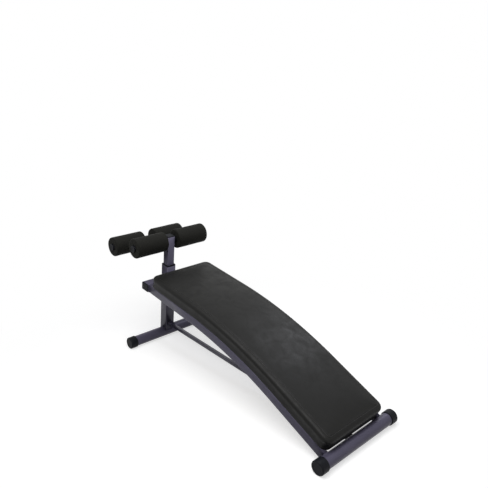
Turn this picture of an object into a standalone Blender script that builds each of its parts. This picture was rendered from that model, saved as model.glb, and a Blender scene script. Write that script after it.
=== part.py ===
"""Decline sit-up bench: a curved pad on two bent side rails, a low end that sits on a round foot tube, a
raised end on a leaning front post, and a leg holder with four foam rollers that telescopes out of that post.

Units are metres. +X runs along the bench towards its low end, +Z is up, and the frame's origin lies on the
floor under the middle of the bench. Pieces are modelled in the bench's own frame, whose zero is under the
rear foot tube, in the front post's frame, whose zero is on the front foot tube's axis with z up the leaning
post, or on the rails, as a length s up the rails' top line, a y across it and a height h square to it.
"""

import math

import bmesh
import bpy
from mathutils import Matrix, Vector

# Clearances
SEAT_GAP = 0.0003
HOLE_GAP = 0.0003
SLIDE_GAP = 0.0004
ROLLER_END_PLAY = 0.0006

# Foot tubes and their end caps
FOOT_TUBE_D = 0.050
FOOT_TUBE_WALL = 0.002
FOOT_LENGTH = 0.450
FOOT_SPACING = 1.2095
CAP_D = 0.057
CAP_LENGTH = 0.036
CAP_END = 0.004
CAP_ROUND = 0.004
CAP_LIP = 0.001
CAP_FLAT_DEPTH = 0.0005

# Side rails: two straight runs joined by one bend, measured along the rails' top line
FRAME_WIDTH = 0.336
RAIL_WIDTH = 0.020
RAIL_HEIGHT = 0.038
RAIL_WALL = 0.0015
RAIL_CORNER = 0.004
RAIL_TOP_OVER_FOOT_AXIS = 0.0125
RAIL_END_CUT = 0.0125
RAIL_LOW_RUN = 0.3035
RAIL_LOW_SLOPE = math.radians(24.2)
RAIL_HIGH_SLOPE = math.radians(8.3)
RAIL_BEND_RADIUS = 1.957

# Pad: upholstered foam on a plywood board, screwed to two straps between the rails
PAD_CORNER = 0.032
PAD_LOW_END = 0.027
PAD_TO_CROSS_TUBE = 0.010
PAD_EDGE_HEIGHT = 0.053
PAD_EDGE_ROUND = 0.012
PAD_CROWN = 0.005
PAD_CROWN_POWER = 8
PAD_SIDE_DRAW = 0.003
BOARD_THICKNESS = 0.012
BOARD_INSET = 0.005
STRAP_WIDTH = 0.040
STRAP_THICKNESS = 0.004
STRAP_FROM_PAD_END = 0.150
PAD_SCREW_FROM_RAIL = 0.048
PAD_SCREW_D = 0.006
PAD_SCREW_HEAD_D = 0.014
PAD_SCREW_HEAD = 0.004
PAD_SCREW_CROWN = 0.002
PAD_SCREW_REACH = 0.009

# Front post, its flange and the cross tube between the rails' upper ends
POST_SIZE = 0.050
POST_WALL = 0.002
POST_CORNER = 0.004
POST_LEAN = math.radians(6.5)
POST_FOOT_CUT = 0.011
POST_OVER_CROSS_TUBE = 0.050
CROSS_DEPTH = 0.050
CROSS_HEIGHT = 0.038
CROSS_WALL = 0.002
CROSS_CORNER = 0.005
CROSS_PLUG_HEAD = 0.006
CROSS_PLUG_STEM = 0.018
CROSS_PLUG_ROUND = 0.002
FLANGE_WIDTH = 0.150
FLANGE_THICKNESS = 0.005
FLANGE_BOLT_Y = 0.055
FLANGE_BOLT_D = 0.008
BOLT_HEAD_ACROSS = 1.75
BOLT_HEAD_THICKNESS = 0.65
BOLT_TAIL = 0.003

# Tie bar between the front post and the rear foot tube
TIE_SIZE = 0.016
TIE_WALL = 0.0015
TIE_CORNER = 0.002
TIE_FRONT_RISE = 0.050
TIE_REAR_DROP = 0.006
TIE_END_GAP = 0.006
TIE_EAR_THICKNESS = 0.003
TIE_EAR_LENGTH = 0.032
TIE_EAR_HEIGHT = 0.022
TIE_BOLT_D = 0.006
TIE_BOLT_FROM_SEAT = 0.018

# Leg holder: inner post, bush, glide and clamp
BUSH_FLANGE = 0.005
BUSH_SLEEVE = 0.030
BUSH_WALL = 0.0033
LEG_POST_WALL = 0.0015
LEG_POST_CORNER = 0.003
LEG_POST_INSERT = 0.220
LEG_POST_OVER_BAR = 0.022
GLIDE_HEAD = 0.014
PLUG_HEAD = 0.004
PLUG_STEM = 0.016
PLUG_ROUND = 0.002
CLAMP_BELOW_POST_TOP = 0.110
CLAMP_SCREW_D = 0.008
CLAMP_NOSE = 0.0013
CLAMP_BOSS_D = 0.020
CLAMP_BOSS_LENGTH = 0.012
KNOB_D = 0.050
KNOB_LOBES = 6
KNOB_LOBE_DEPTH = 0.004
KNOB_THICKNESS = 0.020
KNOB_ROUND = 0.0033
KNOB_HUB_D = 0.022
KNOB_HUB_LENGTH = 0.006
KNOB_BORE_DEPTH = 0.018

# Leg holder: roller bars, arm and foam rollers
KNEE_BAR_OVER_POST = 0.131
ANKLE_REACH = 0.2014
ARM_DROP = math.radians(17.7)
ARM_SIZE = 0.030
ARM_WALL = 0.0015
ARM_CORNER = 0.003
ARM_PAST_BAR = 0.020
GUSSET_LEG = 0.045
GUSSET_THICKNESS = 0.004
BAR_D = 0.025
BAR_WALL = 0.0015
BAR_PLUG_HEAD_D = 0.033
BAR_PLUG_HEAD = 0.006
BAR_PLUG_STEM = 0.020
BAR_PLUG_BEVEL = 0.002
ROLLER_D = 0.095
ROLLER_LENGTH = 0.1675
ROLLER_ROUND = 0.006
SPACER_D = 0.034
KNEE_SPACER_LENGTH = 0.0121

# Facets
ROUND_STEPS = 32
BAR_STEPS = 24
BOLT_STEPS = 12
CORNER_STEPS = 3
BEND_STEPS = 10
PAD_CORNER_STEPS = 5
PAD_EDGE_STEPS = 3
PAD_COLUMNS = 6
PAD_SIDE_STEPS = 4
KNOB_LOBE_STEPS = 8
SHARP_ANGLE = math.radians(35)
MERGE_DISTANCE = 0.000001

# Values that follow from the sizes above
FOOT_R = FOOT_TUBE_D / 2
CAP_R = CAP_D / 2
FOOT_AXIS_Z = CAP_R - CAP_FLAT_DEPTH
RAIL_MID_Y = (FRAME_WIDTH - RAIL_WIDTH) / 2
RAIL_BEND_LENGTH = RAIL_BEND_RADIUS * (RAIL_LOW_SLOPE - RAIL_HIGH_SLOPE)
PAD_WIDTH = FRAME_WIDTH
PAD_SCREW_Y = FRAME_WIDTH / 2 - RAIL_WIDTH - PAD_SCREW_FROM_RAIL
BOARD_TOP = SEAT_GAP + BOARD_THICKNESS
CROSS_AXIS_X = POST_SIZE / 2 + FLANGE_THICKNESS + CROSS_DEPTH / 2 + 2 * SEAT_GAP
CROSS_BACK_X = CROSS_AXIS_X + CROSS_DEPTH / 2
LEG_POST_SIZE = POST_SIZE - 2 * (POST_WALL + SEAT_GAP + BUSH_WALL + SLIDE_GAP)
ROLLER_INNER_Y = LEG_POST_SIZE / 2 + SEAT_GAP + KNEE_SPACER_LENGTH + ROLLER_END_PLAY
ROLLER_OUTER_Y = ROLLER_INNER_Y + ROLLER_LENGTH
BAR_LENGTH = 2 * (ROLLER_OUTER_Y + ROLLER_END_PLAY)
ARC_MIDDLE = 1 - math.cos(math.pi / 4)

# Finishes: colour, roughness and metallic value
FRAME_PAINT = ((0.075, 0.070, 0.105), 0.35, 0.4)
BLACK_PLASTIC = ((0.012, 0.013, 0.016), 0.5, 0.0)
FOAM = ((0.012, 0.012, 0.011), 0.9, 0.0)
VINYL = ((0.030, 0.030, 0.029), 0.45, 0.0)
PLYWOOD = ((0.32, 0.20, 0.10), 0.8, 0.0)
ZINC_STEEL = ((0.050, 0.052, 0.060), 0.35, 1.0)


def direction(slope):
    """Unit vector up a slope that rises towards -X."""
    return Vector((-math.cos(slope), 0.0, math.sin(slope)))


def square_to(slope):
    """Unit vector square to that slope, away from the floor."""
    return Vector((math.sin(slope), 0.0, math.cos(slope)))


def on_rails(s, y, h):
    """Point at length s up the rails' top line, y across it and h above it."""
    start = Vector((0.0, y, FOOT_AXIS_Z)) + square_to(RAIL_LOW_SLOPE) * RAIL_TOP_OVER_FOOT_AXIS
    along = min(s, RAIL_LOW_RUN)
    point = start + direction(RAIL_LOW_SLOPE) * along
    bent = min(max(s - RAIL_LOW_RUN, 0.0), RAIL_BEND_LENGTH)
    slope = RAIL_LOW_SLOPE - bent / RAIL_BEND_RADIUS
    point += (square_to(slope) - square_to(RAIL_LOW_SLOPE)) * RAIL_BEND_RADIUS
    point += direction(RAIL_HIGH_SLOPE) * max(s - RAIL_LOW_RUN - RAIL_BEND_LENGTH, 0.0)
    return point + square_to(slope) * h


def post_to_bench():
    """Matrix from the front post's frame to the bench's frame."""
    return Matrix.Translation((-FOOT_SPACING, 0.0, FOOT_AXIS_Z)) @ Matrix.Rotation(POST_LEAN, 4, "Y")


def rail_length_to_cross_tube(h):
    """Length s at which a line h above the rails' top line meets the cross tube's back face."""
    back = post_to_bench() @ Vector((CROSS_BACK_X + SEAT_GAP, 0.0, 0.0))
    normal = post_to_bench().to_3x3() @ Vector((1.0, 0.0, 0.0))
    bend_end = RAIL_LOW_RUN + RAIL_BEND_LENGTH
    start = on_rails(bend_end, 0.0, h)
    return bend_end + (back - start).dot(normal) / direction(RAIL_HIGH_SLOPE).dot(normal)


def cross_tube_z():
    """Height of the cross tube's axis in the post's frame, where the rails' middle lines meet its back."""
    mid = on_rails(rail_length_to_cross_tube(-RAIL_HEIGHT / 2), 0.0, -RAIL_HEIGHT / 2)
    return (post_to_bench().inverted() @ mid).z


CROSS_Z = cross_tube_z()
POST_TOP_Z = CROSS_Z + POST_OVER_CROSS_TUBE
CLAMP_Z = POST_TOP_Z - CLAMP_BELOW_POST_TOP
KNEE_Z = POST_TOP_Z + KNEE_BAR_OVER_POST
PAD_HIGH_END = rail_length_to_cross_tube(0.0) - PAD_TO_CROSS_TUBE
STRAP_PLACES = {"low": PAD_LOW_END + STRAP_FROM_PAD_END, "high": PAD_HIGH_END - STRAP_FROM_PAD_END}


def clear_scene():
    """Remove whatever the open file holds."""
    for old in list(bpy.data.objects):
        bpy.data.objects.remove(old, do_unlink=True)


def add_empty(name, parent, matrix):
    """Empty that carries a group of pieces."""
    empty = bpy.data.objects.new(name, None)
    bpy.context.scene.collection.objects.link(empty)
    empty.parent = parent
    empty.matrix_local = matrix
    return empty


def add_object(name, bm, parent, finish):
    """Mesh object with its own material, from a finished bmesh."""
    bmesh.ops.recalc_face_normals(bm, faces=bm.faces)
    mesh = bpy.data.meshes.new(name)
    bm.to_mesh(mesh)
    bm.free()
    mesh.shade_smooth()
    mesh.set_sharp_from_angle(angle=SHARP_ANGLE)
    colour, roughness, metallic = finish
    material = bpy.data.materials.new(name)
    material.use_nodes = True
    shader = material.node_tree.nodes["Principled BSDF"]
    shader.inputs["Base Color"].default_value = (*colour, 1.0)
    shader.inputs["Roughness"].default_value = roughness
    shader.inputs["Metallic"].default_value = metallic
    mesh.materials.append(material)
    piece = bpy.data.objects.new(name, mesh)
    bpy.context.scene.collection.objects.link(piece)
    piece.parent = parent
    return piece


def cut(piece, name, bm, parent):
    """Cut a hidden shape out of a piece."""
    bmesh.ops.recalc_face_normals(bm, faces=bm.faces)
    mesh = bpy.data.meshes.new(name)
    bm.to_mesh(mesh)
    bm.free()
    cutter = bpy.data.objects.new(name, mesh)
    bpy.context.scene.collection.objects.link(cutter)
    cutter.parent = parent
    cutter.hide_render = True
    cutter.display_type = "WIRE"
    boolean = piece.modifiers.new(name, "BOOLEAN")
    boolean.operation = "DIFFERENCE"
    boolean.solver = "EXACT"
    boolean.object = cutter


def join_loops(bm, loops):
    """Faces between each closed loop of vertices and the next."""
    for first, second in zip(loops, loops[1:]):
        for k in range(len(first)):
            after = (k + 1) % len(first)
            bm.faces.new((first[k], first[after], second[after], second[k]))


def add_solid(bm, loops):
    """Closed solid through loops of points, with flat ends."""
    rings = [[bm.verts.new(point) for point in loop] for loop in loops]
    join_loops(bm, rings)
    bm.faces.new(rings[0])
    bm.faces.new(rings[-1])


def add_tube(bm, outer_loops, inner_loops):
    """Open-ended tube between outer and inner loops of points."""
    outer = [[bm.verts.new(point) for point in loop] for loop in outer_loops]
    inner = [[bm.verts.new(point) for point in loop] for loop in inner_loops]
    join_loops(bm, outer + inner[::-1])
    join_loops(bm, [inner[0], outer[0]])


def round_section(width, height, corner):
    """Outline of a rectangle with round corners, about its middle."""
    points = []
    for k, (side_u, side_v) in enumerate(((1, 1), (-1, 1), (-1, -1), (1, -1))):
        for step in range(CORNER_STEPS + 1):
            angle = (k + step / CORNER_STEPS) * math.pi / 2
            u = side_u * (width / 2 - corner) + corner * math.cos(angle)
            v = side_v * (height / 2 - corner) + corner * math.sin(angle)
            points.append((u, v))
    return points


def inner_section(width, height, corner, wall):
    """Inside outline of a tube whose outside is round_section."""
    return round_section(width - 2 * wall, height - 2 * wall, max(corner - wall, wall / 2))


def rod_profile(radius, first, last):
    """Profile of a plain rod between two places on its axis."""
    return ((0.0, first), (radius, first), (radius, last), (0.0, last))


def ring_profile(inner, outer, first, last):
    """Profile of a plain ring between two places on its axis."""
    return ((inner, first), (outer, first), (outer, last), (inner, last))


def add_turned(bm, profile, steps, matrix):
    """Solid turned about local Y; its (radius, y) points start and end on the axis or close into a ring."""
    off_axis = profile[0][0] > 0.0
    points = [bm.verts.new(matrix @ Vector((radius, y, 0.0))) for radius, y in profile]
    edges = [bm.edges.new(pair) for pair in zip(points, points[1:])]
    if off_axis:
        edges.append(bm.edges.new((points[-1], points[0])))
    bmesh.ops.spin(
        bm, geom=points + edges, cent=matrix.translation, axis=matrix.to_3x3() @ Vector((0.0, 1.0, 0.0)),
        angle=math.tau, steps=steps, use_merge=True,
    )
    bmesh.ops.remove_doubles(bm, verts=bm.verts, dist=MERGE_DISTANCE)


def along_y(x, y, z):
    """Frame for a turned piece that points along +Y."""
    return Matrix.Translation((x, y, z))


def towards_minus_y(x, y, z):
    """Frame for a turned piece that points along -Y."""
    return Matrix.Translation((x, y, z)) @ Matrix.Rotation(math.pi, 4, "Z")


def towards_x(x, y, z):
    """Frame for a turned piece that points along +X."""
    return Matrix.Translation((x, y, z)) @ Matrix.Rotation(-math.pi / 2, 4, "Z")


def up_from_rails(s, y):
    """Frame for a turned piece that points square to the rails' top line."""
    base = on_rails(s, y, 0.0)
    up = on_rails(s, y, 1.0) - base
    across = Vector((0.0, 1.0, 0.0))
    return Matrix.Translation(base) @ Matrix((across, up, across.cross(up))).transposed().to_4x4()


def bolt_angles():
    """Directions of the points round a bolt or nut, two to each flat of its hexagon."""
    return [math.tau * k / BOLT_STEPS for k in range(BOLT_STEPS)]


def hex_loop(diameter, y, matrix):
    """Hexagon of a bolt's head or nut, square to local Y."""
    flat = diameter * BOLT_HEAD_ACROSS / 2
    loop = []
    for angle in bolt_angles():
        off_flat = (angle % (math.pi / 3)) - math.pi / 6
        radius = flat / math.cos(off_flat)
        loop.append(matrix @ Vector((radius * math.cos(angle), y, radius * math.sin(angle))))
    return loop


def round_loop(radius, y, matrix):
    """Circle with as many points as a bolt's hexagon."""
    return [matrix @ Vector((radius * math.cos(a), y, radius * math.sin(a))) for a in bolt_angles()]


def add_bolt(bm, diameter, length, matrix):
    """Hex-headed bolt whose head sits at local y = 0 and whose shank points along +Y."""
    head = [hex_loop(diameter, y, matrix) for y in (-diameter * BOLT_HEAD_THICKNESS, 0.0)]
    add_solid(bm, head + [round_loop(diameter / 2, y, matrix) for y in (0.0, length)])


def add_nut(bm, diameter, matrix):
    """Hex nut that sits at local y = 0."""
    heights = (0.0, diameter * BOLT_HEAD_THICKNESS)
    bore = diameter / 2 + HOLE_GAP
    outer = [hex_loop(diameter, y, matrix) for y in heights]
    add_tube(bm, outer, [round_loop(bore, y, matrix) for y in heights])


def cut_flat_on_floor(bm):
    """Take off what reaches below the floor, and close the cut with one flat face."""
    everything = bm.verts[:] + bm.edges[:] + bm.faces[:]
    made = bmesh.ops.bisect_plane(
        bm, geom=everything, dist=MERGE_DISTANCE, plane_co=(0.0, 0.0, 0.0), plane_no=(0.0, 0.0, -1.0),
        clear_outer=True,
    )
    rim = [edge for edge in made["geom_cut"] if isinstance(edge, bmesh.types.BMEdge)]
    bmesh.ops.contextual_create(bm, geom=rim)


def feet(bench):
    """Two round foot tubes, each with a black cap on both ends."""
    tube_half = FOOT_LENGTH / 2 - CAP_END - SEAT_GAP
    tube_profile = ring_profile(FOOT_R - FOOT_TUBE_WALL, FOOT_R, -tube_half, tube_half)
    bore = FOOT_R + SEAT_GAP
    inside = CAP_LENGTH - CAP_END
    arc = CAP_ROUND * ARC_MIDDLE
    profile = (
        (0.0, 0.0), (bore, 0.0), (bore, -inside), (CAP_R - CAP_LIP, -inside), (CAP_R, CAP_LIP - inside),
        (CAP_R, CAP_END - CAP_ROUND), (CAP_R - arc, CAP_END - arc), (CAP_R - CAP_ROUND, CAP_END),
        (0.0, CAP_END),
    )
    for end, x in (("front", -FOOT_SPACING), ("rear", 0.0)):
        bm = bmesh.new()
        add_turned(bm, tube_profile, ROUND_STEPS, along_y(x, 0.0, FOOT_AXIS_Z))
        add_object(f"{end}_foot_tube", bm, bench, FRAME_PAINT)
        for side, frame in (("left", along_y), ("right", towards_minus_y)):
            bm = bmesh.new()
            reach = FOOT_LENGTH / 2 - CAP_END
            add_turned(bm, profile, ROUND_STEPS, frame(x, reach if side == "left" else -reach, FOOT_AXIS_Z))
            cut_flat_on_floor(bm)
            add_object(f"{end}_foot_cap_{side}", bm, bench, BLACK_PLASTIC)


def rail_stations():
    """Lengths along the rails' top line at which bent pieces have a section."""
    return [RAIL_LOW_RUN + RAIL_BEND_LENGTH * k / BEND_STEPS for k in range(BEND_STEPS + 1)]


def side_rails(bench):
    """Bent box-section rails, coped to the rear foot tube and cut flush to the cross tube."""
    outer = round_section(RAIL_WIDTH, RAIL_HEIGHT, RAIL_CORNER)
    inner = inner_section(RAIL_WIDTH, RAIL_HEIGHT, RAIL_CORNER, RAIL_WALL)

    def loops(section, y):
        rows = [RAIL_END_CUT] + rail_stations()
        made = [[on_rails(s, y + u, v - RAIL_HEIGHT / 2) for u, v in section] for s in rows]
        top = []
        for u, v in section:
            h = v - RAIL_HEIGHT / 2
            top.append(on_rails(rail_length_to_cross_tube(h), y + u, h))
        return made + [top]

    for side, y in (("left", RAIL_MID_Y), ("right", -RAIL_MID_Y)):
        bm = bmesh.new()
        add_tube(bm, loops(outer, y), loops(inner, y))
        rail = add_object(f"side_rail_{side}", bm, bench, FRAME_PAINT)
        cope = bmesh.new()
        profile = rod_profile(FOOT_R + SEAT_GAP, -RAIL_WIDTH, RAIL_WIDTH)
        add_turned(cope, profile, ROUND_STEPS, along_y(0.0, y, FOOT_AXIS_Z))
        cut(rail, f"cope_{side}", cope, bench)


def pad_half_width(s, low, high, half, corner):
    """Half the width of a round-cornered outline at length s."""
    inset = min(s - low, high - s)
    if inset >= corner:
        return half
    return half - corner + math.sqrt(max(corner**2 - (corner - inset) ** 2, 0.0))


def outline_stations(low, high, corner):
    """Lengths of the sections of a bent slab, close together round its corners."""
    turn = math.pi / 2 / PAD_CORNER_STEPS
    ends = [corner * (1 - math.cos(k * turn)) for k in range(PAD_CORNER_STEPS + 1)]
    middle = [s for s in rail_stations() if low + corner < s < high - corner]
    return [low + d for d in ends] + middle + [high - d for d in reversed(ends)]


def add_slab(bm, low, high, half, corner, bottom, top):
    """Bent slab of a round-cornered outline between two heights above the rails."""
    rings = []
    for s in outline_stations(low, high, corner):
        width = pad_half_width(s, low, high, half, corner)
        corners = ((-width, bottom), (width, bottom), (width, top), (-width, top))
        rings.append([on_rails(s, y, h) for y, h in corners])
    add_solid(bm, rings)


def cushion_top(s, y):
    """Height of the cushion's crowned top, with its rounded edge."""
    half = PAD_WIDTH / 2
    core_s = min(max(s, PAD_LOW_END + PAD_CORNER), PAD_HIGH_END - PAD_CORNER)
    core_y = min(max(y, PAD_CORNER - half), half - PAD_CORNER)
    inside = max(PAD_CORNER - math.hypot(s - core_s, y - core_y), 0.0)
    short = max(PAD_EDGE_ROUND - inside, 0.0)
    edge = PAD_EDGE_ROUND - math.sqrt(PAD_EDGE_ROUND**2 - short**2)
    middle = (PAD_LOW_END + PAD_HIGH_END) / 2
    end_share = abs(s - middle) / (PAD_HIGH_END - middle)
    crown = PAD_CROWN * (1 - (y / half) ** 2) * (1 - end_share**PAD_CROWN_POWER)
    return PAD_EDGE_HEIGHT - edge + crown


def cushion_side(s, y, share):
    """Point of the cushion's drawn-in side, a share of the way from its top edge to its bottom."""
    half = PAD_WIDTH / 2
    core_s = min(max(s, PAD_LOW_END + PAD_CORNER), PAD_HIGH_END - PAD_CORNER)
    core_y = min(max(y, PAD_CORNER - half), half - PAD_CORNER)
    inward = Vector((core_s - s, core_y - y)).normalized() * PAD_SIDE_DRAW * math.sin(math.pi * share)
    top = PAD_EDGE_HEIGHT - PAD_EDGE_ROUND
    return on_rails(s + inward.x, y + inward.y, top + (SEAT_GAP - top) * share)


def cushion(bench):
    """Upholstered foam: crowned top, round edges, drawn-in sides, and a pocket that holds the board."""
    rows = outline_stations(PAD_LOW_END, PAD_HIGH_END, PAD_CORNER)
    turn = math.pi / 2 / PAD_EDGE_STEPS
    edge_steps = [PAD_EDGE_ROUND * (1 - math.cos(k * turn)) for k in range(PAD_EDGE_STEPS)]
    columns = [2 * k / PAD_COLUMNS - 1 for k in range(PAD_COLUMNS + 1)]
    bm = bmesh.new()
    grid = []
    for s in rows:
        half = pad_half_width(s, PAD_LOW_END, PAD_HIGH_END, PAD_WIDTH / 2, PAD_CORNER)
        flat = half - PAD_EDGE_ROUND
        ys = [-half + d for d in edge_steps] + [flat * c for c in columns]
        ys += [half - d for d in reversed(edge_steps)]
        grid.append([(s, y, bm.verts.new(on_rails(s, y, cushion_top(s, y)))) for y in ys])
    for first, second in zip(grid, grid[1:]):
        for k in range(len(first) - 1):
            bm.faces.new((first[k][2], first[k + 1][2], second[k + 1][2], second[k][2]))
    right_side = [row[0] for row in grid]
    left_side = [row[-1] for row in grid]
    rim = grid[0][:-1] + left_side[:-1] + grid[-1][:0:-1] + right_side[:0:-1]
    rings = [[vert for _, _, vert in rim]]
    for step in range(1, PAD_SIDE_STEPS + 1):
        rings.append([bm.verts.new(cushion_side(s, y, step / PAD_SIDE_STEPS)) for s, y, _ in rim])
    join_loops(bm, rings)
    across = len(grid[0]) - 1
    run = len(grid) - 1
    bottom = rings[-1]
    for k in range(run):
        left = bottom[across + k:across + k + 2]
        right = [bottom[-k % len(bottom)], bottom[-k - 1]]
        low_row = bottom[1:across] if k == 0 else []
        high_row = bottom[across + run + 1:2 * across + run] if k == run - 1 else []
        bm.faces.new([right[0], *low_row, *left, *high_row, right[1]])
    pad = add_object("pad_cushion", bm, bench, VINYL)
    pocket = bmesh.new()
    grow = BOARD_INSET - SEAT_GAP
    pocket_bottom = -BOARD_THICKNESS
    add_slab(
        pocket, PAD_LOW_END + grow, PAD_HIGH_END - grow, PAD_WIDTH / 2 - grow, PAD_CORNER - grow,
        pocket_bottom, BOARD_TOP + SEAT_GAP,
    )
    cut(pad, "board_pocket", pocket, bench)


def board_and_straps(bench):
    """Plywood board, the two straps welded between the rails, and the screws that hold it from below."""
    bm = bmesh.new()
    add_slab(
        bm, PAD_LOW_END + BOARD_INSET, PAD_HIGH_END - BOARD_INSET, PAD_WIDTH / 2 - BOARD_INSET,
        PAD_CORNER - BOARD_INSET, SEAT_GAP, BOARD_TOP,
    )
    board = add_object("pad_board", bm, bench, PLYWOOD)
    half_y = FRAME_WIDTH / 2 - RAIL_WIDTH - SEAT_GAP
    corners = ((-half_y, -STRAP_THICKNESS), (half_y, -STRAP_THICKNESS), (half_y, 0.0), (-half_y, 0.0))
    screw_r = PAD_SCREW_D / 2
    hole_r = screw_r + HOLE_GAP
    head_r = PAD_SCREW_HEAD_D / 2
    head_top = -STRAP_THICKNESS - SEAT_GAP
    head_bottom = head_top - PAD_SCREW_HEAD
    screw_profile = (
        (0.0, head_bottom), (head_r - PAD_SCREW_CROWN, head_bottom), (head_r, head_bottom + PAD_SCREW_CROWN),
        (head_r, head_top), (screw_r, head_top), (screw_r, PAD_SCREW_REACH), (0.0, PAD_SCREW_REACH),
    )
    hole_profile = rod_profile(hole_r, head_bottom, PAD_SCREW_REACH + SEAT_GAP)
    for end, s in STRAP_PLACES.items():
        bm = bmesh.new()
        rows = (s - STRAP_WIDTH / 2, s + STRAP_WIDTH / 2)
        add_solid(bm, [[on_rails(row, y, h) for y, h in corners] for row in rows])
        strap = add_object(f"pad_strap_{end}", bm, bench, FRAME_PAINT)
        for side, y in (("left", PAD_SCREW_Y), ("right", -PAD_SCREW_Y)):
            frame = up_from_rails(s, y)
            bm = bmesh.new()
            add_turned(bm, screw_profile, BOLT_STEPS, frame)
            add_object(f"pad_screw_{end}_{side}", bm, bench, ZINC_STEEL)
            for piece in (strap, board):
                hole = bmesh.new()
                add_turned(hole, hole_profile, BOLT_STEPS, frame)
                cut(piece, f"{piece.name}_hole_{end}_{side}", hole, bench)


def upright_loops(section, heights):
    """Loops of a section that stands along z."""
    return [[Vector((u, v, z)) for u, v in section] for z in heights]


def crosswise_loops(section, ys, x, z):
    """Loops of a section that lies along y, about a line at x and z."""
    return [[Vector((x + u, y, z + v)) for u, v in section] for y in ys]


def front_post(post):
    """Square post, coped over the front foot tube, with a bush in its top and a nut boss for the clamp."""
    section = (POST_SIZE, POST_SIZE, POST_CORNER)
    span = (POST_FOOT_CUT, POST_TOP_Z)
    outer = upright_loops(round_section(*section), span)
    bm = bmesh.new()
    add_tube(bm, outer, upright_loops(inner_section(*section, POST_WALL), span))
    tube = add_object("front_post", bm, post, FRAME_PAINT)
    cope = bmesh.new()
    add_turned(cope, rod_profile(FOOT_R + SEAT_GAP, -POST_SIZE, POST_SIZE), ROUND_STEPS, Matrix())
    cut(tube, "post_cope", cope, post)
    screw_hole = bmesh.new()
    screw_r = CLAMP_SCREW_D / 2 + HOLE_GAP
    profile = rod_profile(screw_r, LEG_POST_SIZE / 2, POST_SIZE)
    add_turned(screw_hole, profile, BAR_STEPS, along_y(0.0, 0.0, CLAMP_Z))
    cut(tube, "clamp_hole", screw_hole, post)

    bush_hole = LEG_POST_SIZE + 2 * SLIDE_GAP
    hole = round_section(bush_hole, bush_hole, LEG_POST_CORNER)
    sleeve_size = POST_SIZE - 2 * POST_WALL - 2 * SEAT_GAP
    sleeve = round_section(sleeve_size, sleeve_size, POST_CORNER - POST_WALL)
    seat = POST_TOP_Z + SEAT_GAP
    rim = upright_loops(round_section(*section), (seat, seat + BUSH_FLANGE))
    outer = upright_loops(sleeve, (seat - BUSH_SLEEVE, seat)) + rim
    inner = upright_loops(hole, (seat - BUSH_SLEEVE, seat, seat + BUSH_FLANGE / 2, seat + BUSH_FLANGE))
    bm = bmesh.new()
    add_tube(bm, outer, inner)
    add_object("post_bush", bm, post, BLACK_PLASTIC)

    bm = bmesh.new()
    profile = ring_profile(screw_r, CLAMP_BOSS_D / 2, 0.0, CLAMP_BOSS_LENGTH)
    add_turned(bm, profile, BAR_STEPS, along_y(0.0, POST_SIZE / 2 + SEAT_GAP, CLAMP_Z))
    add_object("clamp_boss", bm, post, FRAME_PAINT)


def cross_tube(post):
    """Cross tube between the rails' upper ends, its plugs, and the bolted flange that ties it to the post."""
    section = (CROSS_DEPTH, CROSS_HEIGHT, CROSS_CORNER)
    half = FRAME_WIDTH / 2
    ends = (-half, half)
    inside = inner_section(*section, CROSS_WALL)
    bm = bmesh.new()
    add_tube(
        bm, crosswise_loops(round_section(*section), ends, CROSS_AXIS_X, CROSS_Z),
        crosswise_loops(inside, ends, CROSS_AXIS_X, CROSS_Z),
    )
    tube = add_object("front_cross_tube", bm, post, FRAME_PAINT)
    stem = round_section(
        CROSS_DEPTH - 2 * CROSS_WALL - 2 * SEAT_GAP, CROSS_HEIGHT - 2 * CROSS_WALL - 2 * SEAT_GAP,
        CROSS_CORNER - CROSS_WALL,
    )
    head = round_section(*section)
    rounding = 2 * CROSS_PLUG_ROUND
    face = round_section(CROSS_DEPTH - rounding, CROSS_HEIGHT - rounding, CROSS_CORNER - CROSS_PLUG_ROUND)
    seat = half + SEAT_GAP
    tip = seat + CROSS_PLUG_HEAD
    stem_end = seat - CROSS_PLUG_STEM
    rows = ((stem, stem_end), (stem, seat), (head, seat), (head, tip - CROSS_PLUG_ROUND), (face, tip))
    for side, sign in (("left", 1), ("right", -1)):
        loops = []
        for outline, y in rows:
            loops += crosswise_loops(outline, (sign * y,), CROSS_AXIS_X, CROSS_Z)
        bm = bmesh.new()
        add_solid(bm, loops)
        add_object(f"cross_tube_plug_{side}", bm, post, BLACK_PLASTIC)

    plate_x = POST_SIZE / 2 + SEAT_GAP
    bm = bmesh.new()
    plate = round_section(FLANGE_WIDTH, CROSS_HEIGHT, CROSS_CORNER)
    faces = (plate_x, plate_x + FLANGE_THICKNESS)
    add_solid(bm, [[Vector((x, u, CROSS_Z + v)) for u, v in plate] for x in faces])
    flange = add_object("post_flange", bm, post, FRAME_PAINT)
    hole_profile = rod_profile(FLANGE_BOLT_D / 2 + HOLE_GAP, 0.0, CROSS_BACK_X + CROSS_DEPTH)
    head_x = plate_x - SEAT_GAP
    nut_x = CROSS_BACK_X + SEAT_GAP
    length = nut_x + FLANGE_BOLT_D * BOLT_HEAD_THICKNESS + BOLT_TAIL - head_x
    for side, y in (("left", FLANGE_BOLT_Y), ("right", -FLANGE_BOLT_Y)):
        for piece in (flange, tube):
            hole = bmesh.new()
            add_turned(hole, hole_profile, BOLT_STEPS, towards_x(0.0, y, CROSS_Z))
            cut(piece, f"{piece.name}_hole_{side}", hole, post)
        bm = bmesh.new()
        add_bolt(bm, FLANGE_BOLT_D, length, towards_x(head_x, y, CROSS_Z))
        add_object(f"flange_bolt_{side}", bm, post, ZINC_STEEL)
        bm = bmesh.new()
        add_nut(bm, FLANGE_BOLT_D, towards_x(nut_x, y, CROSS_Z))
        add_object(f"flange_nut_{side}", bm, post, ZINC_STEEL)


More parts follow.
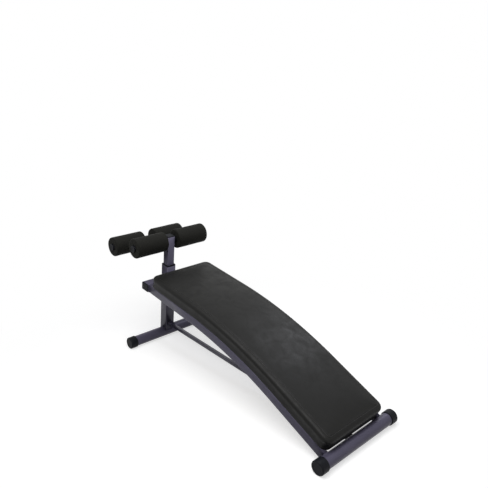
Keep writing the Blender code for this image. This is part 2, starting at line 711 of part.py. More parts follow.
def tie_bar(bench, post):
    """Square tie bar, cross-bolted at each end to brackets on the front post and the rear foot tube."""
    front = post_to_bench() @ Vector((POST_SIZE / 2, 0.0, TIE_FRONT_RISE))
    rear = Vector((-FOOT_R, 0.0, FOOT_AXIS_Z - TIE_REAR_DROP))
    pitch = math.atan2(front.z - rear.z, rear.x - front.x)
    length = (rear - front).length
    frame = add_empty("tie_frame", bench, Matrix.Translation(front) @ Matrix.Rotation(pitch, 4, "Y"))
    section = (TIE_SIZE, TIE_SIZE, TIE_CORNER)
    span = (TIE_END_GAP, length - TIE_END_GAP)
    outer = [[Vector((x, u, v)) for u, v in round_section(*section)] for x in span]
    inner = [[Vector((x, u, v)) for u, v in inner_section(*section, TIE_WALL)] for x in span]
    bm = bmesh.new()
    add_tube(bm, outer, inner)
    bar = add_object("tie_bar", bm, frame, FRAME_PAINT)

    ear_y = TIE_SIZE / 2 + SEAT_GAP
    ear_out = ear_y + TIE_EAR_THICKNESS
    half = TIE_EAR_HEIGHT / 2
    past = 2 * ear_out
    hole_profile = rod_profile(TIE_BOLT_D / 2 + HOLE_GAP, -past, past)
    head_y = -ear_out - SEAT_GAP
    nut_y = ear_out + SEAT_GAP
    reach = nut_y - head_y + TIE_BOLT_D * BOLT_HEAD_THICKNESS + BOLT_TAIL
    post_room = round_section(POST_SIZE + 2 * SEAT_GAP, POST_SIZE + 2 * SEAT_GAP, POST_CORNER)
    for end, seat, inward in (("front", 0.0, 1), ("rear", length, -1)):
        back = seat - inward * half
        base = seat + inward * TIE_EAR_THICKNESS
        tip = seat + inward * TIE_EAR_LENGTH
        outline = (
            (back, -ear_out), (tip, -ear_out), (tip, -ear_y), (base, -ear_y),
            (base, ear_y), (tip, ear_y), (tip, ear_out), (back, ear_out),
        )
        bm = bmesh.new()
        add_solid(bm, [[Vector((x, y, z)) for x, y in outline] for z in (-half, half)])
        bracket = add_object(f"tie_bracket_{end}", bm, frame, FRAME_PAINT)
        seat_cut = bmesh.new()
        if end == "front":
            add_solid(seat_cut, upright_loops(post_room, (0.0, TIE_FRONT_RISE + POST_SIZE)))
            cut(bracket, "bracket_seat_front", seat_cut, post)
        else:
            profile = rod_profile(FOOT_R + SEAT_GAP, -past, past)
            add_turned(seat_cut, profile, ROUND_STEPS, along_y(0.0, 0.0, FOOT_AXIS_Z))
            cut(bracket, "bracket_seat_rear", seat_cut, bench)
        place = seat + inward * TIE_BOLT_FROM_SEAT
        for piece in (bracket, bar):
            hole = bmesh.new()
            add_turned(hole, hole_profile, BOLT_STEPS, along_y(place, 0.0, 0.0))
            cut(piece, f"{piece.name}_hole_{end}", hole, frame)
        bm = bmesh.new()
        add_bolt(bm, TIE_BOLT_D, reach, along_y(place, head_y, 0.0))
        add_object(f"tie_bolt_{end}", bm, frame, ZINC_STEEL)
        bm = bmesh.new()
        add_nut(bm, TIE_BOLT_D, along_y(place, nut_y, 0.0))
        add_object(f"tie_nut_{end}", bm, frame, ZINC_STEEL)


def clamp(post):
    """Star knob on a screw that bears on the leg post; its origin is on the screw's axis."""
    hub_y = POST_SIZE / 2 + SEAT_GAP + CLAMP_BOSS_LENGTH + SEAT_GAP
    turning = add_empty("clamp_axis", post, Matrix.Translation((0.0, hub_y, CLAMP_Z)))
    screw_r = CLAMP_SCREW_D / 2
    tip = LEG_POST_SIZE / 2 + SEAT_GAP - hub_y
    screw_end = KNOB_BORE_DEPTH - SEAT_GAP
    nose_r = screw_r - CLAMP_NOSE
    profile = ((0.0, tip), (nose_r, tip), (screw_r, tip + CLAMP_NOSE), (screw_r, screw_end), (0.0, screw_end))
    bm = bmesh.new()
    add_turned(bm, profile, BAR_STEPS, Matrix())
    add_object("clamp_screw", bm, turning, ZINC_STEEL)

    steps = KNOB_LOBES * KNOB_LOBE_STEPS

    def star(inset, y):
        loop = []
        for k in range(steps):
            angle = math.tau * k / steps
            radius = KNOB_D / 2 - inset - KNOB_LOBE_DEPTH * (1 - math.cos(KNOB_LOBES * angle)) / 2
            loop.append(Vector((radius * math.cos(angle), y, radius * math.sin(angle))))
        return loop

    def hub(y):
        angles = [math.tau * k / steps for k in range(steps)]
        return [Vector((KNOB_HUB_D / 2 * math.cos(a), y, KNOB_HUB_D / 2 * math.sin(a))) for a in angles]

    back = KNOB_HUB_LENGTH
    front = KNOB_HUB_LENGTH + KNOB_THICKNESS
    stars = ((KNOB_ROUND, back), (0.0, back + KNOB_ROUND), (0.0, front - KNOB_ROUND), (KNOB_ROUND, front))
    bm = bmesh.new()
    add_solid(bm, [hub(0.0), hub(back)] + [star(inset, y) for inset, y in stars])
    knob = add_object("clamp_knob", bm, turning, BLACK_PLASTIC)
    bore = bmesh.new()
    add_turned(bore, rod_profile(screw_r + HOLE_GAP, -back, KNOB_BORE_DEPTH), BAR_STEPS, Matrix())
    cut(knob, "knob_bore", bore, turning)


def plug_outlines(size, corner, wall):
    """Stem, head and face outlines of a plug in the end of a square tube."""
    stem_size = size - 2 * (wall + SEAT_GAP)
    face_size = size - 2 * PLUG_ROUND
    stem = round_section(stem_size, stem_size, max(corner - wall, wall / 2))
    return stem, round_section(size, size, corner), round_section(face_size, face_size, corner - PLUG_ROUND)


def bar_hole(size, matrix):
    """Round hole for a roller bar through a square tube."""
    bm = bmesh.new()
    add_turned(bm, rod_profile(BAR_D / 2 + HOLE_GAP, -size, size), ROUND_STEPS, matrix)
    return bm


def leg_post(holder):
    """Inner post with its top plug and the glide on its foot."""
    foot = POST_TOP_Z - LEG_POST_INSERT
    top = KNEE_Z + LEG_POST_OVER_BAR
    section = (LEG_POST_SIZE, LEG_POST_SIZE, LEG_POST_CORNER)
    span = (foot, top)
    outer = upright_loops(round_section(*section), span)
    bm = bmesh.new()
    add_tube(bm, outer, upright_loops(inner_section(*section, LEG_POST_WALL), span))
    tube = add_object("leg_post", bm, holder, FRAME_PAINT)
    cut(tube, "knee_bar_hole", bar_hole(LEG_POST_SIZE, Matrix.Translation((0.0, 0.0, KNEE_Z))), holder)
    stem, head, face = plug_outlines(LEG_POST_SIZE, LEG_POST_CORNER, LEG_POST_WALL)
    stem_bottom = max(top - PLUG_STEM, KNEE_Z + BAR_D / 2 + SEAT_GAP)
    seat = top + SEAT_GAP
    plug = upright_loops(stem, (stem_bottom, seat))
    plug += upright_loops(head, (seat, seat + PLUG_HEAD - PLUG_ROUND))
    plug += upright_loops(face, (seat + PLUG_HEAD,))
    bm = bmesh.new()
    add_solid(bm, plug)
    add_object("leg_post_plug", bm, holder, BLACK_PLASTIC)
    glide_size = POST_SIZE - 2 * POST_WALL - 2 * SLIDE_GAP
    glide = round_section(glide_size, glide_size, POST_CORNER - POST_WALL)
    seat = foot - SEAT_GAP
    shoe = upright_loops(glide, (seat - GLIDE_HEAD, seat))
    bm = bmesh.new()
    add_solid(bm, shoe + upright_loops(stem, (seat, seat + PLUG_STEM)))
    add_object("leg_post_glide", bm, holder, BLACK_PLASTIC)


def ankle_arm(knee, ankle):
    """Arm from the leg post to the ankle bar, with a plug in its end and a gusset under its root."""
    section = (ARM_SIZE, ARM_SIZE, ARM_CORNER)
    face = LEG_POST_SIZE / 2 + SEAT_GAP
    tip = ANKLE_REACH + ARM_PAST_BAR

    def loops(outline):
        root = [Vector((-(face - v * math.sin(ARM_DROP)) / math.cos(ARM_DROP), u, v)) for u, v in outline]
        return [root, [Vector((-tip, u, v)) for u, v in outline]]

    bm = bmesh.new()
    add_tube(bm, loops(round_section(*section)), loops(inner_section(*section, ARM_WALL)))
    arm = add_object("ankle_arm", bm, knee, FRAME_PAINT)
    cut(arm, "ankle_bar_hole", bar_hole(ARM_SIZE, Matrix()), ankle)
    stem, head, cover = plug_outlines(ARM_SIZE, ARM_CORNER, ARM_WALL)
    seat = tip + SEAT_GAP
    end = seat + PLUG_HEAD
    stem_end = max(tip - PLUG_STEM, ANKLE_REACH + BAR_D / 2 + SEAT_GAP)
    rows = ((stem, stem_end), (stem, seat), (head, seat), (head, end - PLUG_ROUND), (cover, end))
    bm = bmesh.new()
    add_solid(bm, [[Vector((-x, u, v)) for u, v in outline] for outline, x in rows])
    add_object("ankle_arm_plug", bm, knee, BLACK_PLASTIC)

    under = -ARM_SIZE / 2 - SEAT_GAP
    root_x = -(face - under * math.sin(ARM_DROP)) / math.cos(ARM_DROP)
    corner = Vector((root_x, 0.0, under))
    down = Vector((-math.sin(ARM_DROP), 0.0, -math.cos(ARM_DROP)))
    outline = (corner, corner + Vector((-GUSSET_LEG, 0.0, 0.0)), corner + down * GUSSET_LEG)
    bm = bmesh.new()
    half = Vector((0.0, GUSSET_THICKNESS / 2, 0.0))
    add_solid(bm, [[point - half for point in outline], [point + half for point in outline]])
    add_object("arm_gusset", bm, knee, FRAME_PAINT)


def roller_bar(name, axis, carrier_size):
    """Bar with its end plugs, spacers and two foam rollers, about an empty on the bar's axis."""
    bar_r = BAR_D / 2
    bore_r = bar_r - BAR_WALL
    end = BAR_LENGTH / 2
    bm = bmesh.new()
    add_turned(bm, ring_profile(bore_r, bar_r, -end, end), BAR_STEPS, Matrix())
    add_object(f"{name}_bar", bm, axis, FRAME_PAINT)

    head_r = BAR_PLUG_HEAD_D / 2
    stem_r = bore_r - SEAT_GAP
    seat = end + SEAT_GAP
    stem_end = seat - BAR_PLUG_STEM
    tip = seat + BAR_PLUG_HEAD
    plug_profile = (
        (0.0, stem_end), (stem_r, stem_end), (stem_r, seat), (head_r, seat), (head_r, tip - BAR_PLUG_BEVEL),
        (head_r - BAR_PLUG_BEVEL, tip), (0.0, tip),
    )
    bore = bar_r + HOLE_GAP
    first = carrier_size / 2 + SEAT_GAP
    spacer_profile = ring_profile(bore, SPACER_D / 2, first, ROLLER_INNER_Y - ROLLER_END_PLAY)
    outside = ROLLER_D / 2
    inside = outside - ROLLER_ROUND
    arc = ROLLER_ROUND * ARC_MIDDLE
    near, far = ROLLER_INNER_Y, ROLLER_OUTER_Y
    roller_profile = (
        (bore, near), (inside, near), (outside - arc, near + arc), (outside, near + ROLLER_ROUND),
        (outside, far - ROLLER_ROUND), (outside - arc, far - arc), (inside, far), (bore, far),
    )
    for side, frame in (("left", along_y), ("right", towards_minus_y)):
        place = frame(0.0, 0.0, 0.0)
        for piece, profile, steps, finish in (
            ("bar_plug", plug_profile, BAR_STEPS, BLACK_PLASTIC),
            ("spacer", spacer_profile, BAR_STEPS, BLACK_PLASTIC),
            ("roller", roller_profile, ROUND_STEPS, FOAM),
        ):
            bm = bmesh.new()
            add_turned(bm, profile, steps, place)
            add_object(f"{name}_{piece}_{side}", bm, axis, finish)


def main():
    """Build the bench about its own frame, then stand that frame over the middle of the bench."""
    clear_scene()
    knee_to_ankle = direction(-ARM_DROP) * ANKLE_REACH
    ankle_in_bench = post_to_bench() @ (Vector((0.0, 0.0, KNEE_Z)) + knee_to_ankle)
    high_end_x = ankle_in_bench.x - ROLLER_D / 2
    bench = add_empty("bench", None, Matrix.Translation((-(high_end_x + CAP_R) / 2, 0.0, 0.0)))
    post = add_empty("post_frame", bench, post_to_bench())
    feet(bench)
    side_rails(bench)
    board_and_straps(bench)
    cushion(bench)
    front_post(post)
    cross_tube(post)
    tie_bar(bench, post)
    clamp(post)
    holder = add_empty("leg_holder", post, Matrix())
    knee = add_empty("knee_axis", holder, Matrix.Translation((0.0, 0.0, KNEE_Z)))
    arm = add_empty("arm_frame", knee, Matrix.Rotation(-ARM_DROP, 4, "Y"))
    ankle = add_empty("ankle_axis", arm, Matrix.Translation((-ANKLE_REACH, 0.0, 0.0)))
    leg_post(holder)
    ankle_arm(arm, ankle)
    roller_bar("knee", knee, LEG_POST_SIZE)
    roller_bar("ankle", ankle, ARM_SIZE)
    bpy.context.view_layer.update()


main()
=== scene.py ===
"""Looks of a decline sit-up bench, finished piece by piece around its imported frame.

Units are metres. +X runs along the bench towards its low end, +Y is the bench's left and +Z is up.
"""

import math

import bmesh
import bpy
import numpy as np
from mathutils import Matrix, Vector, noise


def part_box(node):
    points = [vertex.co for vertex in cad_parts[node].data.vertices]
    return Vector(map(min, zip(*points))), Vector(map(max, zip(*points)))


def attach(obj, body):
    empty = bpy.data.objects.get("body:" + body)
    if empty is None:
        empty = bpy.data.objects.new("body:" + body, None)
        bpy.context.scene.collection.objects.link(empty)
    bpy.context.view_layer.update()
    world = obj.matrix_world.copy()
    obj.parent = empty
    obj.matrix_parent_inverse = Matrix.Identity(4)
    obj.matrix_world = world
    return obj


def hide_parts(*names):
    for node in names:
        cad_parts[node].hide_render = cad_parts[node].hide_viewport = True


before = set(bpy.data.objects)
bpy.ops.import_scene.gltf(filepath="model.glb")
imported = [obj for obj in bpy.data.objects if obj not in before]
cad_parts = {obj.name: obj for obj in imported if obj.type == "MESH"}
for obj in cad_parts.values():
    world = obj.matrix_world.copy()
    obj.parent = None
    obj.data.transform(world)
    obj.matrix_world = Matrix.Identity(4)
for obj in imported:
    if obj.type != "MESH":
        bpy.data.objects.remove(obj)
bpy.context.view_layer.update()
scene = bpy.context.scene


# Studio: a camera at the photograph's angle, a pale floor that takes the bench's soft shadow, and large soft
# lamps. The floor and the space behind it look white to the camera and in reflections, and grey to the light
# that they bounce, so that the underside of the bench stays dark.
camera_lens = 40.8
camera_place = (1.66636, -1.46016, 1.339)
camera_tilt = math.radians(72.05)
camera_turn = math.radians(47.56)
floor_radius = 40.0
floor_drop = 0.0002
floor_glow = 0.62
air_glow = 0.08
shadow_reach = (0.7, 1.3)
lamp_aim = Vector((0.05, 0.0, 0.2))


def linear(code):
    """Linear colour of an sRGB hex code."""
    channels = [int(code[k:k + 2], 16) / 255 for k in (1, 3, 5)]
    return [c / 12.92 if c <= 0.04045 else ((c + 0.055) / 1.055) ** 2.4 for c in channels] + [1.0]


def connect(tree, node, inputs):
    """Set a node's inputs to values, or link them to sockets."""
    for key, value in inputs.items():
        if isinstance(value, bpy.types.NodeSocket):
            tree.links.new(value, node.inputs[key])
        else:
            node.inputs[key].default_value = value


def add_node(tree, kind, inputs=None, **settings):
    """Node of a kind with its settings and inputs."""
    node = tree.nodes.new(kind)
    for name, value in settings.items():
        setattr(node, name, value)
    connect(tree, node, inputs or {})
    return node


def seen_directly(tree):
    """Socket that is 1 where a ray from the camera, a reflection or glass looks, and 0 for bounced light."""
    rays = add_node(tree, "ShaderNodeLightPath").outputs
    seen = rays["Is Camera Ray"]
    for other in ("Is Glossy Ray", "Is Transmission Ray"):
        seen = add_node(tree, "ShaderNodeMath", {0: seen, 1: rays[other]}, operation="MAXIMUM").outputs[0]
    return seen


def add_lamp(name, place, size, watts, colour):
    """Soft square lamp that faces the bench."""
    lamp = bpy.data.lights.new(name, "AREA")
    lamp.shape = "SQUARE"
    lamp.size = size
    lamp.energy = watts
    lamp.color = linear(colour)[:3]
    holder = bpy.data.objects.new(name, lamp)
    holder.location = place
    holder.rotation_euler = (lamp_aim - Vector(place)).to_track_quat("-Z", "Y").to_euler()
    scene.collection.objects.link(holder)


scene.view_settings.view_transform = "Standard"
camera = bpy.data.cameras.new("camera")
camera.lens = camera_lens
camera_stand = bpy.data.objects.new("camera", camera)
camera_stand.location = camera_place
camera_stand.rotation_euler = (camera_tilt, 0.0, camera_turn)
scene.collection.objects.link(camera_stand)
scene.camera = camera_stand

world = bpy.data.worlds.new("studio_air")
world.use_nodes = True
tree = world.node_tree
tree.nodes.clear()
air = add_node(tree, "ShaderNodeBackground", {"Color": linear("#ffffff"), "Strength": air_glow})
backdrop = add_node(tree, "ShaderNodeBackground", {"Color": linear("#ffffff"), "Strength": 1.0})
sky = add_node(tree, "ShaderNodeMixShader", {
    0: seen_directly(tree), 1: air.outputs[0], 2: backdrop.outputs[0],
})
add_node(tree, "ShaderNodeOutputWorld", {"Surface": sky.outputs[0]})
scene.world = world

paper = bpy.data.materials.new("white_backdrop_paper")
paper.use_nodes = True
tree = paper.node_tree
tree.nodes.clear()
matt = add_node(tree, "ShaderNodeBsdfDiffuse", {"Color": linear("#c8c8c8")})
glow = add_node(tree, "ShaderNodeEmission", {"Color": linear("#ffffff"), "Strength": floor_glow})
near = add_node(tree, "ShaderNodeAddShader", {0: matt.outputs[0], 1: glow.outputs[0]})
white = add_node(tree, "ShaderNodeEmission", {"Color": linear("#ffffff"), "Strength": 1.0})
spot = add_node(tree, "ShaderNodeTexCoord").outputs["Object"]
away = add_node(tree, "ShaderNodeVectorMath", {0: spot}, operation="LENGTH")
fade = add_node(tree, "ShaderNodeMapRange", {
    0: away.outputs["Value"], 1: shadow_reach[0], 2: shadow_reach[1],
}, interpolation_type="SMOOTHSTEP")
bright = add_node(tree, "ShaderNodeMixShader", {
    0: fade.outputs[0], 1: near.outputs[0], 2: white.outputs[0],
})
dull = add_node(tree, "ShaderNodeBsdfDiffuse", {"Color": linear("#383838")})
sheet = add_node(tree, "ShaderNodeMixShader", {
    0: seen_directly(tree), 1: dull.outputs[0], 2: bright.outputs[0],
})
add_node(tree, "ShaderNodeOutputMaterial", {"Surface": sheet.outputs[0]})
bm = bmesh.new()
bmesh.ops.create_circle(bm, cap_ends=True, segments=64, radius=floor_radius)
bmesh.ops.translate(bm, verts=bm.verts, vec=(0.0, 0.0, -floor_drop))
floor_mesh = bpy.data.meshes.new("floor")
bm.to_mesh(floor_mesh)
bm.free()
floor_mesh.materials.append(paper)
floor = bpy.data.objects.new("floor", floor_mesh)
scene.collection.objects.link(floor)

add_lamp("overhead_softbox", (0.35, -0.75, 2.5), 2.2, 57.0, "#ffffff")
add_lamp("rear_softbox", (-0.02, 1.48, 1.76), 0.8, 9.0, "#f4f6ff")
add_lamp("right_softbox", (2.6, -1.6, 1.0), 1.4, 8.0, "#fffaf4")


# Foot tubes: two round steel tubes lie across the bench under its ends. They are sawn to length, welded to
# the rest of the frame and powder coated with it, in a gunmetal grey with a violet cast.
tube_steps = 96
smooth_angle = math.radians(40)
peel_size = 0.0022
tone_size = 0.11
held_reach = 1.2


def new_material(name):
    """Material with a Principled shader; gives it, its tree, its shader and its object's coordinates."""
    material = bpy.data.materials.new(name)
    material.use_nodes = True
    tree = material.node_tree
    tree.nodes.clear()
    shader = add_node(tree, "ShaderNodeBsdfPrincipled")
    add_node(tree, "ShaderNodeOutputMaterial", {"Surface": shader.outputs["BSDF"]})
    return material, tree, shader, add_node(tree, "ShaderNodeTexCoord").outputs["Object"]


def speckle(tree, place, size, detail, distortion=0.0):
    """Noise of a real size."""
    settings = {"Vector": place, "Scale": 1 / size, "Detail": detail, "Distortion": distortion}
    return add_node(tree, "ShaderNodeTexNoise", settings).outputs["Fac"]


def blend(tree, share, first, second):
    """Colour between two hex codes."""
    ends = {0: share, 6: linear(first), 7: linear(second)}
    return add_node(tree, "ShaderNodeMix", ends, data_type="RGBA").outputs[2]


def mottled(tree, place, size, detail, first, second, distortion=0.0):
    """Noise of a real size, and a colour that drifts between two hex codes with it."""
    cloud = speckle(tree, place, size, detail, distortion)
    return cloud, blend(tree, cloud, first, second)


def raised(tree, height, strength, depth):
    """Normal of a skin that a pattern raises."""
    bump = {"Height": height, "Strength": strength, "Distance": depth}
    return add_node(tree, "ShaderNodeBump", bump).outputs[0]


def new_piece(name, bm, material):
    """Object from a finished bmesh, smooth where its faces turn gently."""
    mesh = bpy.data.meshes.new(name)
    bm.to_mesh(mesh)
    bm.free()
    mesh.materials.append(material)
    mesh.shade_smooth()
    mesh.set_sharp_from_angle(angle=smooth_angle)
    piece = bpy.data.objects.new(name, mesh)
    scene.collection.objects.link(piece)
    return piece


def fit(piece, body, slot, *nodes):
    """Let a piece ride on its body and stand for CAD nodes, which are hidden; the slot is not used."""
    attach(piece, body)
    if nodes:
        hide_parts(*nodes)


def stand_in(node, body, bm, suffix, material, slot):
    """Piece from a finished bmesh that takes a CAD node's place."""
    piece = new_piece(f"{node}_{suffix}", bm, material)
    fit(piece, body, slot, node)
    return piece


def eased(corners, steps=6):
    """Profile through (radius, y, rounding) corners, each rounded by an arc with held edges beside it."""
    points = []
    for k, (radius, y, rounding) in enumerate(corners):
        here = Vector((radius, y))
        if rounding == 0.0:
            points.append(here)
            continue
        into = (Vector(corners[k - 1][:2]) - here).normalized()
        out = (Vector(corners[(k + 1) % len(corners)][:2]) - here).normalized()
        half = into.angle(out) / 2
        reach = rounding / math.tan(half)
        centre = here + (into + out).normalized() * rounding / math.sin(half)
        first = here + into * reach - centre
        last = here + out * reach - centre
        turn = math.pi - 2 * half
        points.append(here + into * reach * held_reach)
        for step in range(steps + 1):
            share = step / steps
            arm = first * math.sin((1 - share) * turn) + last * math.sin(share * turn)
            points.append(centre + arm / math.sin(turn))
        points.append(here + out * reach * held_reach)
    return [tuple(point) for point in points]


def sleeve(bore, radius, start, end, edge):
    """Profile of a plain tube's wall, with its four edges eased."""
    corners = ((bore, start), (radius, start), (radius, end), (bore, end))
    return eased([(r, y, edge) for r, y in corners])


def bridge(bm, rings):
    """Faces from each ring of points to the next, of which either may be a single point or meet in places."""
    for first, second in zip(rings, rings[1:]):
        for k in range(max(len(first), len(second))):
            after = k + 1
            corners = [first[k % len(first)], first[after % len(first)]]
            corners += [second[after % len(second)], second[k % len(second)]]
            bm.faces.new(list(dict.fromkeys(corners)))


def turned(profile, place, steps=tube_steps):
    """Solid turned about a place's Y axis; its (radius, y) points meet the axis or close into a ring."""
    bm = bmesh.new()
    rings = []
    for radius, y in profile:
        count = steps if radius > 0.0 else 1
        turns = [math.tau * k / count for k in range(count)]
        points = [Vector((radius * math.cos(a), y, radius * math.sin(a))) for a in turns]
        rings.append([bm.verts.new(place @ point) for point in points])
    if profile[0][0] > 0.0:
        rings.append(rings[0])
    bridge(bm, rings)
    bmesh.ops.recalc_face_normals(bm, faces=bm.faces)
    return bm


# Powder coat is sprayed on dry and baked: a satin skin with a faint orange peel, a little metal flake in it,
# and a tone that drifts slightly from one run of tube to the next.
powder_coat, tree, shader, place = new_material("gunmetal_powder_coat")
drift, tone = mottled(tree, place, tone_size, 3.0, "#504d5f", "#5d5a6d")
gloss = add_node(tree, "ShaderNodeMapRange", {0: drift, 3: 0.30, 4: 0.42})
peel = raised(tree, speckle(tree, place, peel_size, 2.0), 0.25, 0.0001)
connect(tree, shader, {
    "Base Color": tone, "Roughness": gloss.outputs[0], "Normal": peel, "Metallic": 0.15,
    "Specular IOR Level": 0.2,
})
painted = ("painted", powder_coat, "frame_paint")

foot_wall = 0.002
foot_edge = 0.0004
for end in ("front", "rear"):
    low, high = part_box(f"{end}_foot_tube")
    foot_r = (high.z - low.z) / 2
    middle = Matrix.Translation((low + high) / 2)
    reach = (high.y - low.y) / 2
    profile = sleeve(foot_r - foot_wall, foot_r, -reach, reach, foot_edge)
    stand_in(f"{end}_foot_tube", "bench_frame", turned(profile, middle), *painted)


# Foot caps: soft black mouldings pushed over the ends of the foot tubes. Each has a rounded rim, a shallow
# dish in its end, a lead-in lip and a small flat where it stands on the floor.
cap_length = 0.036
cap_end = 0.004
cap_wall_gap = 0.0003
cap_rim = 0.005
cap_lip = 0.001
cap_dish_r = 0.019
cap_dish = 0.0008
cap_edge = 0.0006
cap_seat_round = 0.0005
cap_mouth_round = 0.0003
cap_lip_round = 0.002
both_sides = (("left", 0.0), ("right", math.pi))
plastic_grain = 0.0009
plastic_cloud = 0.02

# Polyethylene from a lightly etched mould: near black, soft satin, with a fine even grain.
black_plastic, tree, shader, place = new_material("moulded_black_polyethylene")
cloud, tone = mottled(tree, place, plastic_cloud, 2.0, "#0b0c11", "#12141a")
gloss = add_node(tree, "ShaderNodeMapRange", {0: cloud, 3: 0.46, 4: 0.60})
grain = raised(tree, speckle(tree, place, plastic_grain, 2.0), 0.3, 0.0001)
connect(tree, shader, {
    "Base Color": tone, "Roughness": gloss.outputs[0], "Normal": grain, "Specular IOR Level": 0.12,
})
moulded = ("moulded", black_plastic, "black_plastic")

for end in ("front", "rear"):
    tube_low, tube_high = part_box(f"{end}_foot_tube")
    axis = (tube_low + tube_high) / 2
    bore = (tube_high.z - tube_low.z) / 2 + cap_wall_gap
    for side, turn in both_sides:
        low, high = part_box(f"{end}_foot_cap_{side}")
        cap_r = (high.x - low.x) / 2
        seat = Matrix.Rotation(turn, 4, "Z") @ Vector((0.0, max(abs(low.y), abs(high.y)) - cap_end, 0.0))
        spot = Matrix.Translation((axis.x, seat.y, axis.z)) @ Matrix.Rotation(turn, 4, "Z")
        mouth = cap_end - cap_length
        profile = eased([
            (0.0, 0.0, 0.0), (bore, 0.0, cap_seat_round), (bore, mouth, cap_mouth_round),
            (cap_r - cap_lip, mouth, cap_edge), (cap_r, mouth + 2 * cap_lip, cap_lip_round),
            (cap_r, cap_end, cap_rim), (cap_dish_r, cap_end, cap_edge),
            (cap_dish_r - cap_dish, cap_end - cap_dish, cap_edge), (0.0, cap_end - cap_dish, 0.0),
        ])
        bm = turned(profile, spot)
        for vert in bm.verts:
            vert.co.z = max(vert.co.z, 0.0)
        stand_in(f"{end}_foot_cap_{side}", "bench_frame", bm, *moulded)


# Side rails: two box-section tubes bent to one long curve, coped onto the rear foot tube and welded to the
# cross tube at their upper ends. They carry the pad along its two long sides.
rail_width = 0.020
rail_height = 0.038
rail_wall = 0.0015
rail_corner = 0.004
rail_over_foot = 0.0125
rail_end_cut = 0.0125
rail_low_run = 0.3035
rail_low_slope = math.radians(24.2)
rail_high_slope = math.radians(8.3)
rail_bend_radius = 1.957
rail_bend = rail_bend_radius * (rail_low_slope - rail_high_slope)
rail_sink = 0.0008
post_lean = math.radians(6.5)
corner_steps = 6
rear_low, rear_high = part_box("rear_foot_tube")
rear_axis = (rear_low + rear_high) / 2


def box_in(place, node):
    """Lowest and highest corners of a CAD node in a turned frame."""
    turn = place.inverted()
    points = np.array([turn @ vert.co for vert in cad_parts[node].data.vertices])
    return Vector(points.min(0)), Vector(points.max(0))


def up_slope(slope):
    """Unit vector up a slope that rises towards -X."""
    return Vector((-math.cos(slope), 0.0, math.sin(slope)))


def off_slope(slope):
    """Unit vector square to that slope, away from the floor."""
    return Vector((math.sin(slope), 0.0, math.cos(slope)))


def on_rails(s, y, h):
    """Point at length s up the rails' top line, y across it and h above it."""
    point = Vector((rear_axis.x, y, rear_axis.z)) + off_slope(rail_low_slope) * rail_over_foot
    point += up_slope(rail_low_slope) * min(s, rail_low_run)
    bent = min(max(s - rail_low_run, 0.0), rail_bend)
    slope = rail_low_slope - bent / rail_bend_radius
    point += (off_slope(slope) - off_slope(rail_low_slope)) * rail_bend_radius
    point += up_slope(rail_high_slope) * max(s - rail_low_run - rail_bend, 0.0)
    return point + off_slope(slope) * h


foot_low, foot_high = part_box("front_foot_tube")
post_frame = Matrix.Translation((foot_low + foot_high) / 2) @ Matrix.Rotation(post_lean, 4, "Y")
cross_low, cross_high = box_in(post_frame, "front_cross_tube")


def rail_end(h):
    """Length at which a line h above the rails' top line meets the cross tube's back."""
    back = post_frame @ Vector((cross_high.x, 0.0, 0.0))
    square = post_frame.to_3x3() @ Vector((1.0, 0.0, 0.0))
    bend_end = rail_low_run + rail_bend
    return bend_end + (back - on_rails(bend_end, 0.0, h)).dot(square) / up_slope(rail_high_slope).dot(square)


def new_tree(name, inputs):
    """Geometry node tree with a path, named inputs and a finish; gives it and its inputs' sockets."""
    tree = bpy.data.node_groups.new(name, "GeometryNodeTree")
    for label, kind in {"Path": "Geometry", **inputs, "Finish": "Material"}.items():
        tree.interface.new_socket(label, in_out="INPUT", socket_type="NodeSocket" + kind)
    tree.interface.new_socket("Piece", in_out="OUTPUT", socket_type="NodeSocketGeometry")
    return tree, add_node(tree, "NodeGroupInput").outputs


def end_tree(tree, geometry, finish):
    """Close a tree: real faces, smooth, in the finish."""
    real = add_node(tree, "GeometryNodeRealizeInstances", {"Geometry": geometry})
    smooth = add_node(tree, "GeometryNodeSetShadeSmooth", {"Geometry": real.outputs[0]})
    coated = add_node(tree, "GeometryNodeSetMaterial", {"Geometry": smooth.outputs[0], "Material": finish})
    add_node(tree, "NodeGroupOutput", {"Piece": coated.outputs[0]})


def grow(name, tree, lines, values, closed=False):
    """Plain mesh piece that a node tree makes along lines of points."""
    bm = bmesh.new()
    for line in lines:
        points = [bm.verts.new(point) for point in line]
        for first, second in zip(points, points[1:] + points[:1] * closed):
            bm.edges.new((first, second))
    mesh = bpy.data.meshes.new(name)
    bm.to_mesh(mesh)
    bm.free()
    piece = bpy.data.objects.new(name, mesh)
    scene.collection.objects.link(piece)
    growth = piece.modifiers.new("growth", "NODES")
    growth.node_group = tree
    sockets = {item.name: item.identifier for item in tree.interface.items_tree if item.in_out == "INPUT"}
    for label, value in values.items():
        growth[sockets[label]] = value
    grown = piece.evaluated_get(bpy.context.evaluated_depsgraph_get())
    made = bpy.data.meshes.new_from_object(grown)
    piece.modifiers.remove(growth)
    piece.data = made
    made.name = name
    return piece


